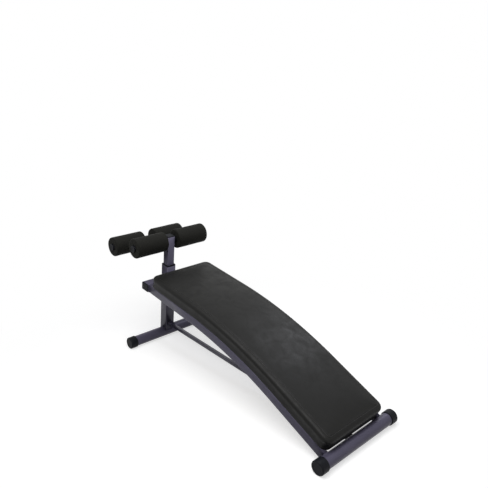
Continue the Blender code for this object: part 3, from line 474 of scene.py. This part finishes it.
box_tube, sizes = new_tree("box_tube", {
    "Width": "Float", "Height": "Float", "Corner": "Float", "Corner Steps": "Int", "Tilt": "Float",
})
line = add_node(box_tube, "GeometryNodeMeshToCurve", {"Mesh": sizes["Path"]})
upright = add_node(box_tube, "GeometryNodeSetCurveNormal", {"Curve": line.outputs[0]}, mode="Z_UP")
leaning = add_node(box_tube, "GeometryNodeSetCurveTilt", {"Curve": upright.outputs[0], "Tilt": sizes["Tilt"]})
section = add_node(box_tube, "GeometryNodeCurvePrimitiveQuadrilateral", {
    "Width": sizes["Width"], "Height": sizes["Height"],
})
rounded = add_node(box_tube, "GeometryNodeFilletCurve", {
    "Curve": section.outputs[0], "Count": sizes["Corner Steps"], "Radius": sizes["Corner"],
}, mode="POLY")
swept = add_node(box_tube, "GeometryNodeCurveToMesh", {
    "Curve": leaning.outputs[0], "Profile Curve": rounded.outputs[0],
})
end_tree(box_tube, swept.outputs[0], sizes["Finish"])


def add_box_tube(node, body, line, width, height, corner, wall, tilt=0.0):
    """Painted tube of box section along a line of points, its wall's thickness inside, for a CAD node."""
    tube = grow(f"{node}_painted", box_tube, [line], {
        "Width": width, "Height": height, "Corner": corner, "Corner Steps": corner_steps, "Tilt": tilt,
        "Finish": powder_coat,
    })
    tube.data.set_sharp_from_angle(angle=smooth_angle)
    thick = tube.modifiers.new("wall", "SOLIDIFY")
    thick.thickness = wall
    thick.offset = -1.0
    fit(tube, body, "frame_paint", node)


bend_steps = 48
stations = [rail_end_cut] + [rail_low_run + rail_bend * k / bend_steps for k in range(bend_steps + 1)]
stations.append(rail_end(-rail_height / 2) + rail_sink)
for side, sign in (("left", 1), ("right", -1)):
    outside = max(abs(corner.y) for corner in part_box(f"side_rail_{side}"))
    y = sign * (outside - rail_width / 2)
    line = [on_rails(s, y, -rail_height / 2) for s in stations]
    add_box_tube(f"side_rail_{side}", "bench_frame", line, rail_width, rail_height, rail_corner, rail_wall)


# Front post and cross tube: the square post stands on the front foot and leans towards the pad. The cross
# tube between the rails is bolted to its face through a welded flange, and pressed-in plugs close its ends.
post_corner = 0.004
post_wall = 0.002
cross_corner = 0.005
cross_wall = 0.002
plate_edge = 0.0006
moulding_edge = 0.0008
merge_distance = 0.000005
flat_angle = math.radians(0.4)


def finer(node, body, edge, *finish):
    """Stand a copy of a CAD node in for it, its triangles merged into whole faces and its edges eased."""
    bm = bmesh.new()
    bm.from_mesh(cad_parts[node].data)
    bmesh.ops.remove_doubles(bm, verts=bm.verts, dist=merge_distance)
    bmesh.ops.dissolve_limit(bm, angle_limit=flat_angle, verts=bm.verts, edges=bm.edges)
    soft = stand_in(node, body, bm, *finish).modifiers.new("eased_edges", "BEVEL")
    soft.width = edge
    soft.segments = 3
    soft.limit_method = "ANGLE"
    soft.angle_limit = smooth_angle


low, high = box_in(post_frame, "front_post")
post_size = high.y - low.y
post_foot, post_top = low.z, high.z
line = [post_frame @ Vector((0.0, 0.0, z)) for z in (post_foot, post_top)]
add_box_tube("front_post", "bench_frame", line, post_size, post_size, post_corner, post_wall)

cross_mid = (cross_low + cross_high) / 2
cross_size = cross_high - cross_low
line = [post_frame @ Vector((cross_mid.x, y, cross_mid.z)) for y in (cross_low.y, cross_high.y)]
cross = (cross_size.x, cross_size.z, cross_corner, cross_wall)
add_box_tube("front_cross_tube", "bench_frame", line, *cross, tilt=post_lean)
for side in ("left", "right"):
    finer(f"cross_tube_plug_{side}", "bench_frame", moulding_edge, *moulded)
finer("post_flange", "bench_frame", plate_edge, *painted)
finer("post_bush", "bench_frame", moulding_edge, *moulded)


# Tie bar: a slim square tube from the front post down to the rear foot, cross-bolted at both ends into
# pressed brackets that are welded on. It keeps the feet from spreading under a load on the pad.
tie_size = 0.016
tie_corner = 0.002
tie_wall = 0.0015
tie_front_rise = 0.050
tie_rear_drop = 0.006
tie_end_gap = 0.006
tie_ear_height = 0.022
tie_ear_half_width = 0.0113
tie_front = post_frame @ Vector((post_size / 2, 0.0, tie_front_rise))
tie_rear = Vector((rear_low.x, 0.0, rear_axis.z - tie_rear_drop))
tie_run = (tie_rear - tie_front).normalized()
line = [tie_front + tie_run * tie_end_gap, tie_rear - tie_run * tie_end_gap]
add_box_tube("tie_bar", "bench_frame", line, tie_size, tie_size, tie_corner, tie_wall)
for end in ("front", "rear"):
    finer(f"tie_bracket_{end}", "bench_frame", plate_edge, *painted)


# Frame bolts: black zinc-plated hex bolts and nuts hold the cross tube to the flange and the tie bar in its
# brackets. Each head has a turned chamfer and a washer face, and the thread shows past the nut.
flange_bolt_d = 0.008
tie_bolt_d = 0.006
thread_pitch = 0.00125
thread_depth = 0.0006
head_share = 0.65
across_share = 1.75
chamfer_share = 0.12
washer_share = 0.97
washer_rise_share = 0.04
hex_steps = 48
zinc_spangle = 0.006

# Black zinc plate over steel: a dark cold metal with a faint cloudy spangle from the passivating dip.
zinc, tree, shader, place = new_material("black_zinc_plated_steel")
spangle, tone = mottled(tree, place, zinc_spangle, 3.0, "#34363c", "#4a4b4e")
gloss = add_node(tree, "ShaderNodeMapRange", {0: spangle, 3: 0.24, 4: 0.42})
connect(tree, shader, {"Base Color": tone, "Roughness": gloss.outputs[0], "Metallic": 1.0})

set_along, sizes = new_tree("set_along", {"Spacing": "Float", "Piece To Set": "Object"})
line = add_node(set_along, "GeometryNodeMeshToCurve", {"Mesh": sizes["Path"]})
spots = add_node(set_along, "GeometryNodeCurveToPoints", {
    "Curve": line.outputs[0], "Length": sizes["Spacing"],
}, mode="LENGTH")
pattern = add_node(set_along, "GeometryNodeObjectInfo", {"Object": sizes["Piece To Set"]})
copies = add_node(set_along, "GeometryNodeInstanceOnPoints", {
    "Points": spots.outputs["Points"], "Instance": pattern.outputs["Geometry"],
    "Rotation": spots.outputs["Rotation"],
})
end_tree(set_along, copies.outputs[0], sizes["Finish"])


def add_row(name, lines, spacing, bm, material, closed=False):
    """Copies of one small shape, set along lines with its Z axis down each line."""
    pattern_piece = new_piece(f"{name}_pattern", bm, material)
    row = grow(name, set_along, lines, {
        "Spacing": spacing, "Piece To Set": pattern_piece, "Finish": material,
    }, closed)
    bpy.data.objects.remove(pattern_piece)
    row.data.set_sharp_from_angle(angle=smooth_angle)
    return row


def lofted(loops):
    """Solid through loops of equal count, closed by a flat face at both ends."""
    bm = bmesh.new()
    rings = [[bm.verts.new(point) for point in loop] for loop in loops]
    bridge(bm, rings)
    bm.faces.new(rings[0])
    bm.faces.new(rings[-1])
    bmesh.ops.recalc_face_normals(bm, faces=bm.faces)
    return bm


def hex_loop(flat, limit, z):
    """Hexagon of a half width across flats, its corners turned down to a limit radius."""
    loop = []
    for k in range(hex_steps):
        turn = math.tau * k / hex_steps
        corner = flat / math.cos(turn % (math.pi / 3) - math.pi / 6)
        radius = min(corner, limit)
        loop.append(Vector((radius * math.cos(turn), radius * math.sin(turn), z)))
    return loop


def hex_loops(diameter, start, rise):
    """Loops of a bolt's head or nut that rises from its seat, chamfered at its outer end."""
    flat = diameter * across_share / 2
    corner = flat / math.cos(math.pi / 6)
    washer_r = flat * washer_share
    washer = diameter * washer_rise_share
    chamfer = diameter * chamfer_share
    sign = math.copysign(1.0, rise)
    loops = [hex_loop(flat, washer_r, start), hex_loop(flat, washer_r, start + sign * washer)]
    loops.append(hex_loop(flat, corner, start + sign * washer))
    for share in (1.0, 0.5, 0.0):
        limit = washer_r + (corner - washer_r) * share
        loops.append(hex_loop(flat, limit, start + rise - sign * chamfer * share))
    return loops


def round_loop(radius, z):
    """Circle with as many points as a hexagon's loop."""
    turns = [math.tau * k / hex_steps for k in range(hex_steps)]
    return [Vector((radius * math.cos(a), radius * math.sin(a), z)) for a in turns]


def hex_bolt(diameter, length):
    """Bolt whose head sits under z = 0 and whose threaded shank runs up from it."""
    radius = diameter / 2
    loops = hex_loops(diameter, 0.0, -diameter * head_share)[::-1]
    threads = int(length / 2 / thread_pitch)
    loops.append(round_loop(radius, 0.0))
    for k in range(threads):
        z = length - (threads - k) * thread_pitch
        loops += [round_loop(radius, z), round_loop(radius - thread_depth, z + thread_pitch / 2)]
    loops.append(round_loop(radius - thread_depth, length))
    return lofted(loops)


def hex_nut(diameter):
    """Nut that sits on z = 0, filled where the bolt's own shank stands in it."""
    return lofted(hex_loops(diameter, 0.0, diameter * head_share))


def span_in(place, node, axis):
    """Ends of a node along one axis of a turned frame, on that axis through the node's middle."""
    low, high = box_in(place, node)
    ends = []
    for value in (low[axis], high[axis]):
        point = (low + high) / 2
        point[axis] = value
        ends.append(place @ point)
    return ends


tie_frame = Matrix.Translation(tie_front) @ Matrix.Rotation(math.atan2(-tie_run.z, tie_run.x), 4, "Y")
for group, bolt_d, place, axis, ends in (
    ("flange", flange_bolt_d, post_frame, 0, ("left", "right")),
    ("tie", tie_bolt_d, tie_frame, 1, ("front", "rear")),
):
    head = bolt_d * head_share
    bolts, nuts = [], []
    for end in ends:
        first, last = span_in(place, f"{group}_bolt_{end}", axis)
        run = (last - first).normalized()
        bolts.append((first + run * head, last))
        nuts.append(span_in(place, f"{group}_nut_{end}", axis))
    length = (bolts[0][1] - bolts[0][0]).length
    row = add_row(f"{group}_bolts_zinc", bolts, 2 * length, hex_bolt(bolt_d, length), zinc)
    fit(row, "bench_frame", "zinc_steel", *(f"{group}_bolt_{end}" for end in ends))
    row = add_row(f"{group}_nuts_zinc", nuts, 2 * length, hex_nut(bolt_d), zinc)
    fit(row, "bench_frame", "zinc_steel", *(f"{group}_nut_{end}" for end in ends))


# Welds: a rippled bead runs round each joint of the frame under the paint, where a rail meets the foot or
# the cross tube, where the post stands on its foot, and along the flange, the brackets and the pad straps.
bead_size = 0.0036
ripple_pitch = 0.0022
ripple_overlap = 0.8
strap_width = 0.040
strap_thickness = 0.004
pad_low = 0.027
pad_to_cross_tube = 0.010
pad_high = rail_end(0.0) - pad_to_cross_tube
strap_inset = 0.150


def outline(width, height, corner):
    """Points round a rectangle with round corners, about its middle."""
    points = []
    for k, (across, up) in enumerate(((1, 1), (-1, 1), (-1, -1), (1, -1))):
        for step in range(corner_steps + 1):
            turn = (k + step / corner_steps) * math.pi / 2
            u = across * (width / 2 - corner) + corner * math.cos(turn)
            v = up * (height / 2 - corner) + corner * math.sin(turn)
            points.append((u, v))
    return points


def ripple():
    """One flat round ripple of a weld bead, its face down the bead."""
    bm = bmesh.new()
    squash = Matrix.Diagonal((bead_size / 2, bead_size / 2, ripple_pitch * ripple_overlap, 1.0))
    bmesh.ops.create_uvsphere(bm, u_segments=10, v_segments=6, radius=1.0, matrix=squash)
    return bm


foot_r = (rear_high.z - rear_low.z) / 2
loops = []
for sign in (1, -1):
    y = sign * (cross_high.y - rail_width / 2)
    at_foot, at_cross = [], []
    for u, v in outline(rail_width, rail_height, rail_corner):
        h = v - rail_height / 2
        over_axis = h + rail_over_foot
        cope = math.sqrt(max(foot_r**2 - over_axis**2, 0.0))
        at_foot.append(on_rails(max(cope, rail_end_cut), y + u, h))
        at_cross.append(on_rails(rail_end(h), y + u, h))
    loops += [at_foot, at_cross]
at_post = []
for u, v in outline(post_size, post_size, post_corner):
    cope = math.sqrt(max(foot_r**2 - u**2, 0.0))
    at_post.append(post_frame @ Vector((u, v, max(cope, post_foot))))
loops.append(at_post)
welds = add_row("frame_joint_welds", loops, ripple_pitch, ripple(), powder_coat, closed=True)
fit(welds, "bench_frame", "frame_paint")

seams = []
ear_sides = (-tie_ear_half_width, tie_ear_half_width)
for sign in (1, -1):
    y = sign * post_size / 2
    seams.append([post_frame @ Vector((post_size / 2, y, z)) for z in (cross_low.z, cross_high.z)])
    z = sign * tie_ear_height / 2
    seams.append([tie_frame @ Vector((z * math.sin(-post_lean), y, z)) for y in ear_sides])
    inner = sign * (cross_high.y - rail_width)
    for s in (pad_low + strap_inset, pad_high - strap_inset):
        seams.append([on_rails(s + d, inner, -strap_thickness) for d in (-strap_width / 2, strap_width / 2)])
welds = add_row("frame_plate_welds", seams, ripple_pitch, ripple(), powder_coat)
fit(welds, "bench_frame", "frame_paint")


# Pad board: birch plywood bent to the rails' curve. It is screwed up through two flat straps that are welded
# between the rails, and the cushion is glued round it.
ply_grain = 0.0022
ply_figure = 0.05

# Rotary-cut birch veneer: pale, matt, with long fine grain and a slow figure along the board.
birch, tree, shader, place = new_material("birch_plywood")
along = add_node(tree, "ShaderNodeMapping", {"Vector": place, "Scale": (0.05, 1.0, 1.0)}).outputs[0]
grain = speckle(tree, along, ply_grain, 4.0)
figure = speckle(tree, along, ply_figure, 3.0, distortion=1.2)
streaks = add_node(tree, "ShaderNodeMath", {0: grain, 1: figure}, operation="MULTIPLY")
veneer = blend(tree, streaks.outputs[0], "#c9a877", "#8f6a3f")
fibre = raised(tree, grain, 0.3, 0.0002)
connect(tree, shader, {"Base Color": veneer, "Normal": fibre, "Roughness": 0.75})

finer("pad_board", "bench_frame", plate_edge, "veneered", birch, "plywood")
for end in ("low", "high"):
    finer(f"pad_strap_{end}", "bench_frame", plate_edge, *painted)

screw_head_r = 0.007
screw_head = 0.004
screw_slot = 0.0012
dome_steps = 6
one_per_line = 1.0
lines = []
for end, s in (("low", pad_low + strap_inset), ("high", pad_high - strap_inset)):
    for side in ("left", "right"):
        low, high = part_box(f"pad_screw_{end}_{side}")
        y = (low.y + high.y) / 2
        lines.append((on_rails(s, y, -strap_thickness), on_rails(s, y, screw_head)))
dome = [(screw_head_r, 0.0)]
for k in range(1, dome_steps):
    turn = math.pi / 2 * k / dome_steps
    dome.append((screw_head_r * math.cos(turn), -screw_head * math.sin(turn)))
upright = Matrix.Rotation(math.pi / 2, 4, "X")
bm = turned([(0.0, 0.0)] + dome + [(0.0, -screw_head + screw_slot)], upright, hex_steps)
row = add_row("pad_screws_zinc", lines, one_per_line, bm, zinc)
names = [f"pad_screw_{end}_{side}" for end in ("low", "high") for side in ("left", "right")]
fit(row, "bench_frame", "zinc_steel", *names)


# Pad cushion: a slab of firm foam on the board, in a cover of black vinyl. The top panel is sewn to a side
# band inside the top edge, and the cover is drawn under the board, so the top swells and the sides pull in.
pad_corner = 0.032
pad_edge_height = 0.053
pad_edge_round = 0.012
pad_crown = 0.005
pad_draw = 0.0012
pad_bottom = 0.0003
pocket_inset = 0.0047
pocket_top = 0.0126
pad_draw_fullness = 0.8
hem_inset = 0.0015
hem_edge_inset = 0.0004
hem_height = 0.0012
seam_inset = 0.0215
cover_overhang = 0.0025
cover_low = pad_low - cover_overhang
grain_size = 0.0016
sheen_size = 0.045

# Vinyl-coated cloth, embossed with a fine leather grain: charcoal black with a soft satin sheen that is
# uneven where hands and calender rolls have polished it.
vinyl, tree, shader, place = new_material("embossed_black_vinyl")
pebble = add_node(tree, "ShaderNodeTexVoronoi", {
    "Vector": place, "Scale": 1 / grain_size,
}, feature="SMOOTH_F1")
crease = speckle(tree, place, 2 * grain_size, 3.0)
relief = add_node(tree, "ShaderNodeMath", {0: pebble.outputs["Distance"], 1: crease}, operation="ADD")
polish, tone = mottled(tree, place, sheen_size, 4.0, "#141413", "#1e1e1d", distortion=0.6)
gloss = add_node(tree, "ShaderNodeMapRange", {0: polish, 1: 0.3, 2: 0.7, 3: 0.52, 4: 0.34})
skin = raised(tree, relief.outputs[0], 0.35, 0.0002)
connect(tree, shader, {
    "Base Color": tone, "Roughness": gloss.outputs[0], "Normal": skin, "Specular IOR Level": 0.14,
})

pad_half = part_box("pad_cushion")[1].y
length_steps, width_steps, turn_steps = 150, 40, 8


def pad_ring(inset):
    """Points (s, y) round the pad's outline, an inset inside it."""
    radius = pad_corner - inset
    low, high, across = cover_low + pad_corner, pad_high - pad_corner, pad_half - pad_corner
    middles = [(high, across), (low, across), (low, -across), (high, -across)]
    runs = (length_steps, width_steps, length_steps, width_steps)
    points = []
    for k, middle in enumerate(middles):
        arc = []
        for step in range(turn_steps + 1):
            turn = (k + step / turn_steps) * math.pi / 2
            arc.append(Vector(middle) + Vector((math.cos(turn), math.sin(turn))) * radius)
        turn = (k + 1) * math.pi / 2
        nxt = Vector(middles[(k + 1) % 4]) + Vector((math.cos(turn), math.sin(turn))) * radius
        points += arc + [arc[-1].lerp(nxt, step / runs[k]) for step in range(1, runs[k])]
    return points


def crown(s, y):
    """Rise of the pad's top over its edge."""
    middle = (cover_low + pad_high) / 2
    return pad_crown * (1 - (y / pad_half) ** 2) * (1 - (abs(s - middle) / (pad_high - middle)) ** 8)


# Rings of the cover from the board's pocket, round the side band and the top edge, to where the top panel is
# flat: inset, height, and how far the filling may push the ring out.
slack = 0.003
side_slack = 0.001
rings = [(pocket_inset, pocket_top, 0.0), (pocket_inset, pad_bottom, 0.0)]
rings += [(hem_inset, pad_bottom, 0.0), (hem_edge_inset, hem_height, 0.0)]
side_top = pad_edge_height - pad_edge_round
side_steps = 7
for k in range(1, side_steps):
    share = k / side_steps
    drawn = (pad_draw + side_slack) * math.sin(math.pi * share) ** pad_draw_fullness
    rings.append((drawn, hem_height + (side_top - hem_height) * share, side_slack))
edge_steps = 6
for k in range(edge_steps):
    turn = math.pi / 2 * k / edge_steps
    inset = pad_edge_round * (1 - math.cos(turn))
    rings.append((inset + slack / 3, side_top + pad_edge_round * math.sin(turn) - slack / 3, slack / 3))
band_insets = (0.0135, 0.0165)
seam_rows = (-0.0016, -0.0007, 0.0, 0.0007, 0.0016)
panel_rings = ((0.0255, 0.3, 0.7), (0.029, 0.7, 1.4))
rings += [(inset, pad_edge_height - slack / 3, slack / 3) for inset in band_insets]
first_seam_ring = len(rings)
rings += [(seam_inset + d, pad_edge_height, 0.0) for d in seam_rows]
rings += [(inset, pad_edge_height - slack * under, slack * free) for inset, under, free in panel_rings]

bm = bmesh.new()
swell = []


def add_point(s, y, h, free):
    """Point of the cover, with how far it may swell."""
    swell.append(free)
    return bm.verts.new(on_rails(s, y, h))


loops = []
for inset, height, free in rings:
    on_top = height > side_top + pad_edge_round / 2
    loops.append([add_point(p.x, p.y, height + on_top * crown(p.x, p.y), free) for p in pad_ring(inset)])
bridge(bm, loops)

inner_run = pad_high - cover_low - 2 * pad_corner
inner_s = [cover_low + pad_corner + inner_run * k / length_steps for k in range(length_steps + 1)]
inner_half = pad_half - pad_corner
inner_y = [2 * inner_half * k / width_steps - inner_half for k in range(width_steps + 1)]
grid = [[add_point(s, y, pad_edge_height - slack + crown(s, y), 2 * slack) for y in inner_y] for s in inner_s]
for first, second in zip(grid, grid[1:]):
    for k in range(width_steps):
        bm.faces.new((first[k], first[k + 1], second[k + 1], second[k]))
around = []
corners = (grid[-1][-1], grid[0][-1], grid[0][0], grid[-1][0])
sides = (
    [row[-1] for row in grid[-2:0:-1]], grid[0][-2:0:-1], [row[0] for row in grid[1:-1]], grid[-1][1:-1],
)
for corner, side in zip(corners, sides):
    around += [corner] * (turn_steps + 1) + side
bridge(bm, (loops[-1], around))

pocket = loops[0]
count = len(pocket)
left_start = turn_steps
right_start = 3 * turn_steps + length_steps + width_steps
for k in range(length_steps):
    a, b = pocket[left_start + k], pocket[left_start + k + 1]
    c = pocket[(right_start + length_steps - k - 1) % count]
    d = pocket[(right_start + length_steps - k) % count]
    bm.faces.new((a, b, c, d))
low_end = pocket[left_start + length_steps:right_start + 1]
high_end = [pocket[k % count] for k in range(right_start + length_steps, count + left_start + 1)]
bm.faces.new(low_end)
bm.faces.new(high_end)
bmesh.ops.recalc_face_normals(bm, faces=bm.faces)
cushion = new_piece("pad_cushion_vinyl", bm, vinyl)

cloth_frames = 20
least_move = 1e-9


def inflate(piece, limits):
    """Swell a cover with Cloth's pressure, hold what is sewn, and let no point move past its limit."""
    start = np.array([vert.co for vert in piece.data.vertices])
    sewn = piece.vertex_groups.new(name="sewn")
    sewn.add([k for k, limit in enumerate(limits) if limit == 0.0], 1.0, "REPLACE")
    cloth = piece.modifiers.new("filling", "CLOTH")
    cloth.settings.vertex_group_mass = "sewn"
    cloth.settings.use_pressure = True
    cloth.settings.uniform_pressure_force = 4.0
    cloth.settings.effector_weights.gravity = 0.0
    cloth.settings.quality = 5
    cloth.settings.tension_stiffness = 15.0
    cloth.settings.compression_stiffness = 15.0
    cloth.settings.bending_stiffness = 0.6
    cloth.point_cache.frame_start = 1
    cloth.point_cache.frame_end = cloth_frames
    for step in range(1, cloth_frames + 1):
        scene.frame_set(step)
    swollen = piece.evaluated_get(bpy.context.evaluated_depsgraph_get()).to_mesh()
    moved = np.array([vert.co for vert in swollen.vertices]) - start
    piece.modifiers.remove(cloth)
    piece.vertex_groups.remove(sewn)
    scene.frame_set(1)
    far = np.maximum(np.linalg.norm(moved, axis=1, keepdims=True), least_move)
    limit = np.maximum(np.array(limits)[:, None], least_move)
    placed = start + moved / far * limit * np.tanh(far / limit)
    piece.data.vertices.foreach_set("co", placed.astype(np.float32).ravel())


inflate(cushion, swell)

# The seam pulls a narrow groove between the top panel and the side band, with a low roll on each side of it.
ring_size = len(pad_ring(0.0))
cushion.data.update()
normals = [vert.normal.copy() for vert in cushion.data.vertices]
seam_relief = (0.0003, -0.0004, -0.0012, -0.0004, 0.0003)
for row, relief in enumerate(seam_relief):
    start = (first_seam_ring + row) * ring_size
    for k in range(start, start + ring_size):
        cushion.data.vertices[k].co += normals[k] * relief

# Firm foam under a stretched cover is never quite even: broad, shallow dents in it catch the light.
dent_size = 0.07
dent_depth = 0.0005
for k, free in enumerate(swell):
    if free > slack:
        vert = cushion.data.vertices[k]
        vert.co += normals[k] * dent_depth * noise.noise(vert.co / dent_size)
fuller = cushion.modifiers.new("smooth_cover", "SUBSURF")
fuller.levels = 1
fuller.render_levels = 1
fit(cushion, "bench_frame", "vinyl", "pad_cushion")


# Pad stitches: bonded black thread closes the seam, one short stitch after another down in its groove.
stitch_pitch = 0.0045
stitch_length = 0.0034
stitch_width = 0.0009

# Bonded polyester thread: black, slightly glossy, twisted from fine filaments.
thread, tree, shader, place = new_material("bonded_black_polyester_thread")
tone = mottled(tree, place, stitch_width, 2.0, "#202020", "#363635")[1]
connect(tree, shader, {"Base Color": tone, "Roughness": 0.5})
seam_line = [cushion.data.vertices[(first_seam_ring + 2) * ring_size + k].co for k in range(ring_size)]
bm = bmesh.new()
shape = Matrix.Diagonal((stitch_width / 2, stitch_width / 2, stitch_length / 2, 1.0))
bmesh.ops.create_uvsphere(bm, u_segments=6, v_segments=6, radius=1.0, matrix=shape)
stitches = add_row("pad_seam_stitches", [seam_line], stitch_pitch, bm, thread, closed=True)
fit(stitches, "bench_frame", "vinyl")


# Leg holder: a square inner post slides in the front post's bush. The ankle arm and its gusset are welded to
# it, and one round bar goes through the post and one through the arm. Pressed-in plugs close the open ends.
arm_drop = math.radians(17.7)
leg_corner = 0.003
leg_wall = 0.0015
knee_low, knee_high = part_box("knee_bar")
knee_axis = (knee_low + knee_high) / 2
arm_frame = Matrix.Translation(knee_axis) @ Matrix.Rotation(post_lean - arm_drop, 4, "Y")
low, high = box_in(post_frame, "leg_post")
leg_size = high.y - low.y
line = [post_frame @ Vector((0.0, 0.0, z)) for z in (low.z, high.z)]
add_box_tube("leg_post", "leg_holder", line, leg_size, leg_size, leg_corner, leg_wall)
low, high = box_in(arm_frame, "ankle_arm")
arm_size = high.y - low.y
line = [arm_frame @ Vector((x, 0.0, 0.0)) for x in (high.x, low.x)]
add_box_tube("ankle_arm", "leg_holder", line, arm_size, arm_size, leg_corner, leg_wall)
finer("arm_gusset", "leg_holder", plate_edge, *painted)
for node in ("leg_post_plug", "ankle_arm_plug", "leg_post_glide"):
    finer(node, "leg_holder", moulding_edge, *moulded)
root = -(leg_size / 2) / math.cos(arm_drop)
loop = []
for u, v in outline(arm_size, arm_size, leg_corner):
    loop.append(arm_frame @ Vector((root + v * math.tan(arm_drop), u, v)))
welds = add_row("leg_holder_welds", [loop], ripple_pitch, ripple(), powder_coat, closed=True)
fit(welds, "leg_holder", "frame_paint")


# Roller bars: round tubes that carry the foam rollers, with a moulded spacer between each roller and the post
# or arm, and a wide flat plug in each end that keeps the roller on.
seat_gap = 0.0003
plug_edge = 0.0015
plug_back_edge = 0.0005
plug_dish = 0.0008
plug_dish_edge = 0.0004
plug_rim_share = 0.55
plug_dish_share = 0.5
spacer_edge = 0.0006
for name in ("knee", "ankle"):
    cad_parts[f"{name}_bar"].data.materials.clear()
    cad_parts[f"{name}_bar"].data.materials.append(powder_coat)
    low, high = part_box(f"{name}_bar")
    axis = (low + high) / 2
    bar_r = (high.z - low.z) / 2
    for side, turn in both_sides:
        spot = Matrix.Translation(axis) @ Matrix.Rotation(turn, 4, "Z")
        low, high = box_in(spot, f"{name}_bar_plug_{side}")
        head_r = high.z
        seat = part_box(f"{name}_bar")[1].y + seat_gap
        profile = eased([
            (0.0, seat, 0.0), (head_r, seat, plug_back_edge), (head_r, high.y, plug_edge),
            (head_r * plug_rim_share, high.y, plug_dish_edge),
            (head_r * plug_dish_share, high.y - plug_dish, plug_dish_edge), (0.0, high.y - plug_dish, 0.0),
        ])
        stand_in(f"{name}_bar_plug_{side}", "leg_holder", turned(profile, spot), *moulded)
        low, high = box_in(spot, f"{name}_spacer_{side}")
        profile = sleeve(bar_r + seat_gap, high.z, low.y, high.y, spacer_edge)
        stand_in(f"{name}_spacer_{side}", "leg_holder", turned(profile, spot), *moulded)


# Foam rollers: thick sleeves of closed-cell rubber foam that turn on the bars. Their cut ends are softly
# rounded and a little sunk round the bar, and the skin is dull, with fine cells and shallow dents.
roller_round = 0.006
roller_hole_round = 0.003
roller_face_round = 0.004
roller_round_steps = 8
roller_sink = 0.0012
roller_dent = 0.0004
roller_dent_size = 0.035
roller_dent_shift = 9.0
roller_held_share = 1.3
roller_least_run = 0.05
cell_size = 0.0014
dust_size = 0.018

# Nitrile rubber foam with its moulded skin: dull near-black, and fine closed cells show as a soft speckle.
foam, tree, shader, place = new_material("black_nitrile_foam")
cells = add_node(tree, "ShaderNodeTexVoronoi", {"Vector": place, "Scale": 1 / cell_size})
tone = mottled(tree, place, dust_size, 4.0, "#11110f", "#1b1b17")[1]
pits = raised(tree, cells.outputs["Distance"], 0.4, 0.0003)
connect(tree, shader, {"Base Color": tone, "Normal": pits, "Roughness": 0.8, "Specular IOR Level": 0.15})

run_steps = 24
for name in ("knee", "ankle"):
    low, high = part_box(f"{name}_bar")
    axis = (low + high) / 2
    bore = (high.z - low.z) / 2 + seat_gap
    for side, turn in both_sides:
        node = f"{name}_roller_{side}"
        spot = Matrix.Translation(axis) @ Matrix.Rotation(turn, 4, "Z")
        low, high = box_in(spot, node)
        roller_r = high.z
        middle = (bore + roller_r) / 2
        profile = eased([
            (bore, low.y + roller_sink, roller_hole_round), (middle, low.y, roller_face_round),
            (roller_r, low.y, roller_round), (roller_r, high.y, roller_round),
            (middle, high.y, roller_face_round), (bore, high.y - roller_sink, roller_hole_round),
        ], roller_round_steps)
        steps = enumerate(zip(profile, profile[1:]))
        gap = next(k for k, (a, b) in steps if b[1] - a[1] > roller_least_run)
        first, last = profile[gap], profile[gap + 1]
        run = [(roller_r, first[1] + (last[1] - first[1]) * k / run_steps) for k in range(1, run_steps)]
        bm = turned(profile[:gap + 1] + run + profile[gap + 1:], spot)
        bm.normal_update()
        shift = Vector((axis.x, turn, 0.0)) * roller_dent_shift
        for vert in bm.verts:
            here = spot.inverted() @ vert.co
            if here.xz.length > bore * roller_held_share:
                lump = noise.noise(here / roller_dent_size + shift)
                vert.co += vert.normal * (lump - 1.0) * roller_dent
        roller = stand_in(node, f"roller_{name}_{side}", bm, "foam", foam, "foam")


# Height clamp: a star knob on a threaded screw, which runs through a boss welded to the post's left face and
# bears on the inner post.
boss_bore = 0.0045
boss_edge = 0.0008
knob_lobes = 6
knob_lobe_depth = 0.004
knob_round = 0.0033
knob_hub = 0.006
knob_hub_r = 0.011
knob_dish_r = 0.012
knob_dish = 0.0012
knob_dish_lip = 0.0008
knob_steps = 144
knob_round_steps = 6
low, high = box_in(post_frame, "clamp_boss")
axis = Vector(((low.x + high.x) / 2, 0.0, (low.z + high.z) / 2))
boss_place = post_frame @ Matrix.Translation(axis)
boss_r = high.z - axis.z
profile = sleeve(boss_bore, boss_r, low.y, high.y, boss_edge)
stand_in("clamp_boss", "bench_frame", turned(profile, boss_place), *painted)
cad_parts["clamp_screw"].data.materials.clear()
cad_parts["clamp_screw"].data.materials.append(zinc)

low, high = box_in(post_frame, "clamp_knob")
knob_r = high.z - axis.z
back, front = low.y + knob_hub, high.y


def star_loop(inset, y):
    """Outline of the knob's lobes at a place along its axis, an inset inside them."""
    loop = []
    for k in range(knob_steps):
        turn = math.tau * k / knob_steps
        radius = knob_r - inset - knob_lobe_depth * (1 - math.cos(knob_lobes * turn)) / 2
        loop.append(boss_place @ Vector((radius * math.cos(turn), y, radius * math.sin(turn))))
    return loop


def ring_loop(radius, y):
    """Circle about the knob's axis, with as many points as its lobes."""
    turns = [math.tau * k / knob_steps for k in range(knob_steps)]
    return [boss_place @ Vector((radius * math.cos(a), y, radius * math.sin(a))) for a in turns]


loops = [ring_loop(knob_hub_r, low.y), ring_loop(knob_hub_r, back)]
arc = [math.pi / 2 * k / knob_round_steps for k in range(knob_round_steps + 1)]
loops += [star_loop(knob_round * (1 - math.sin(a)), back + knob_round * (1 - math.cos(a))) for a in arc]
loops += [star_loop(knob_round * (1 - math.cos(a)), front - knob_round * (1 - math.sin(a))) for a in arc]
loops += [ring_loop(knob_dish_r, front), ring_loop(knob_dish_r - knob_dish_lip, front - knob_dish)]
stand_in("clamp_knob", "knob", lofted(loops), *moulded)
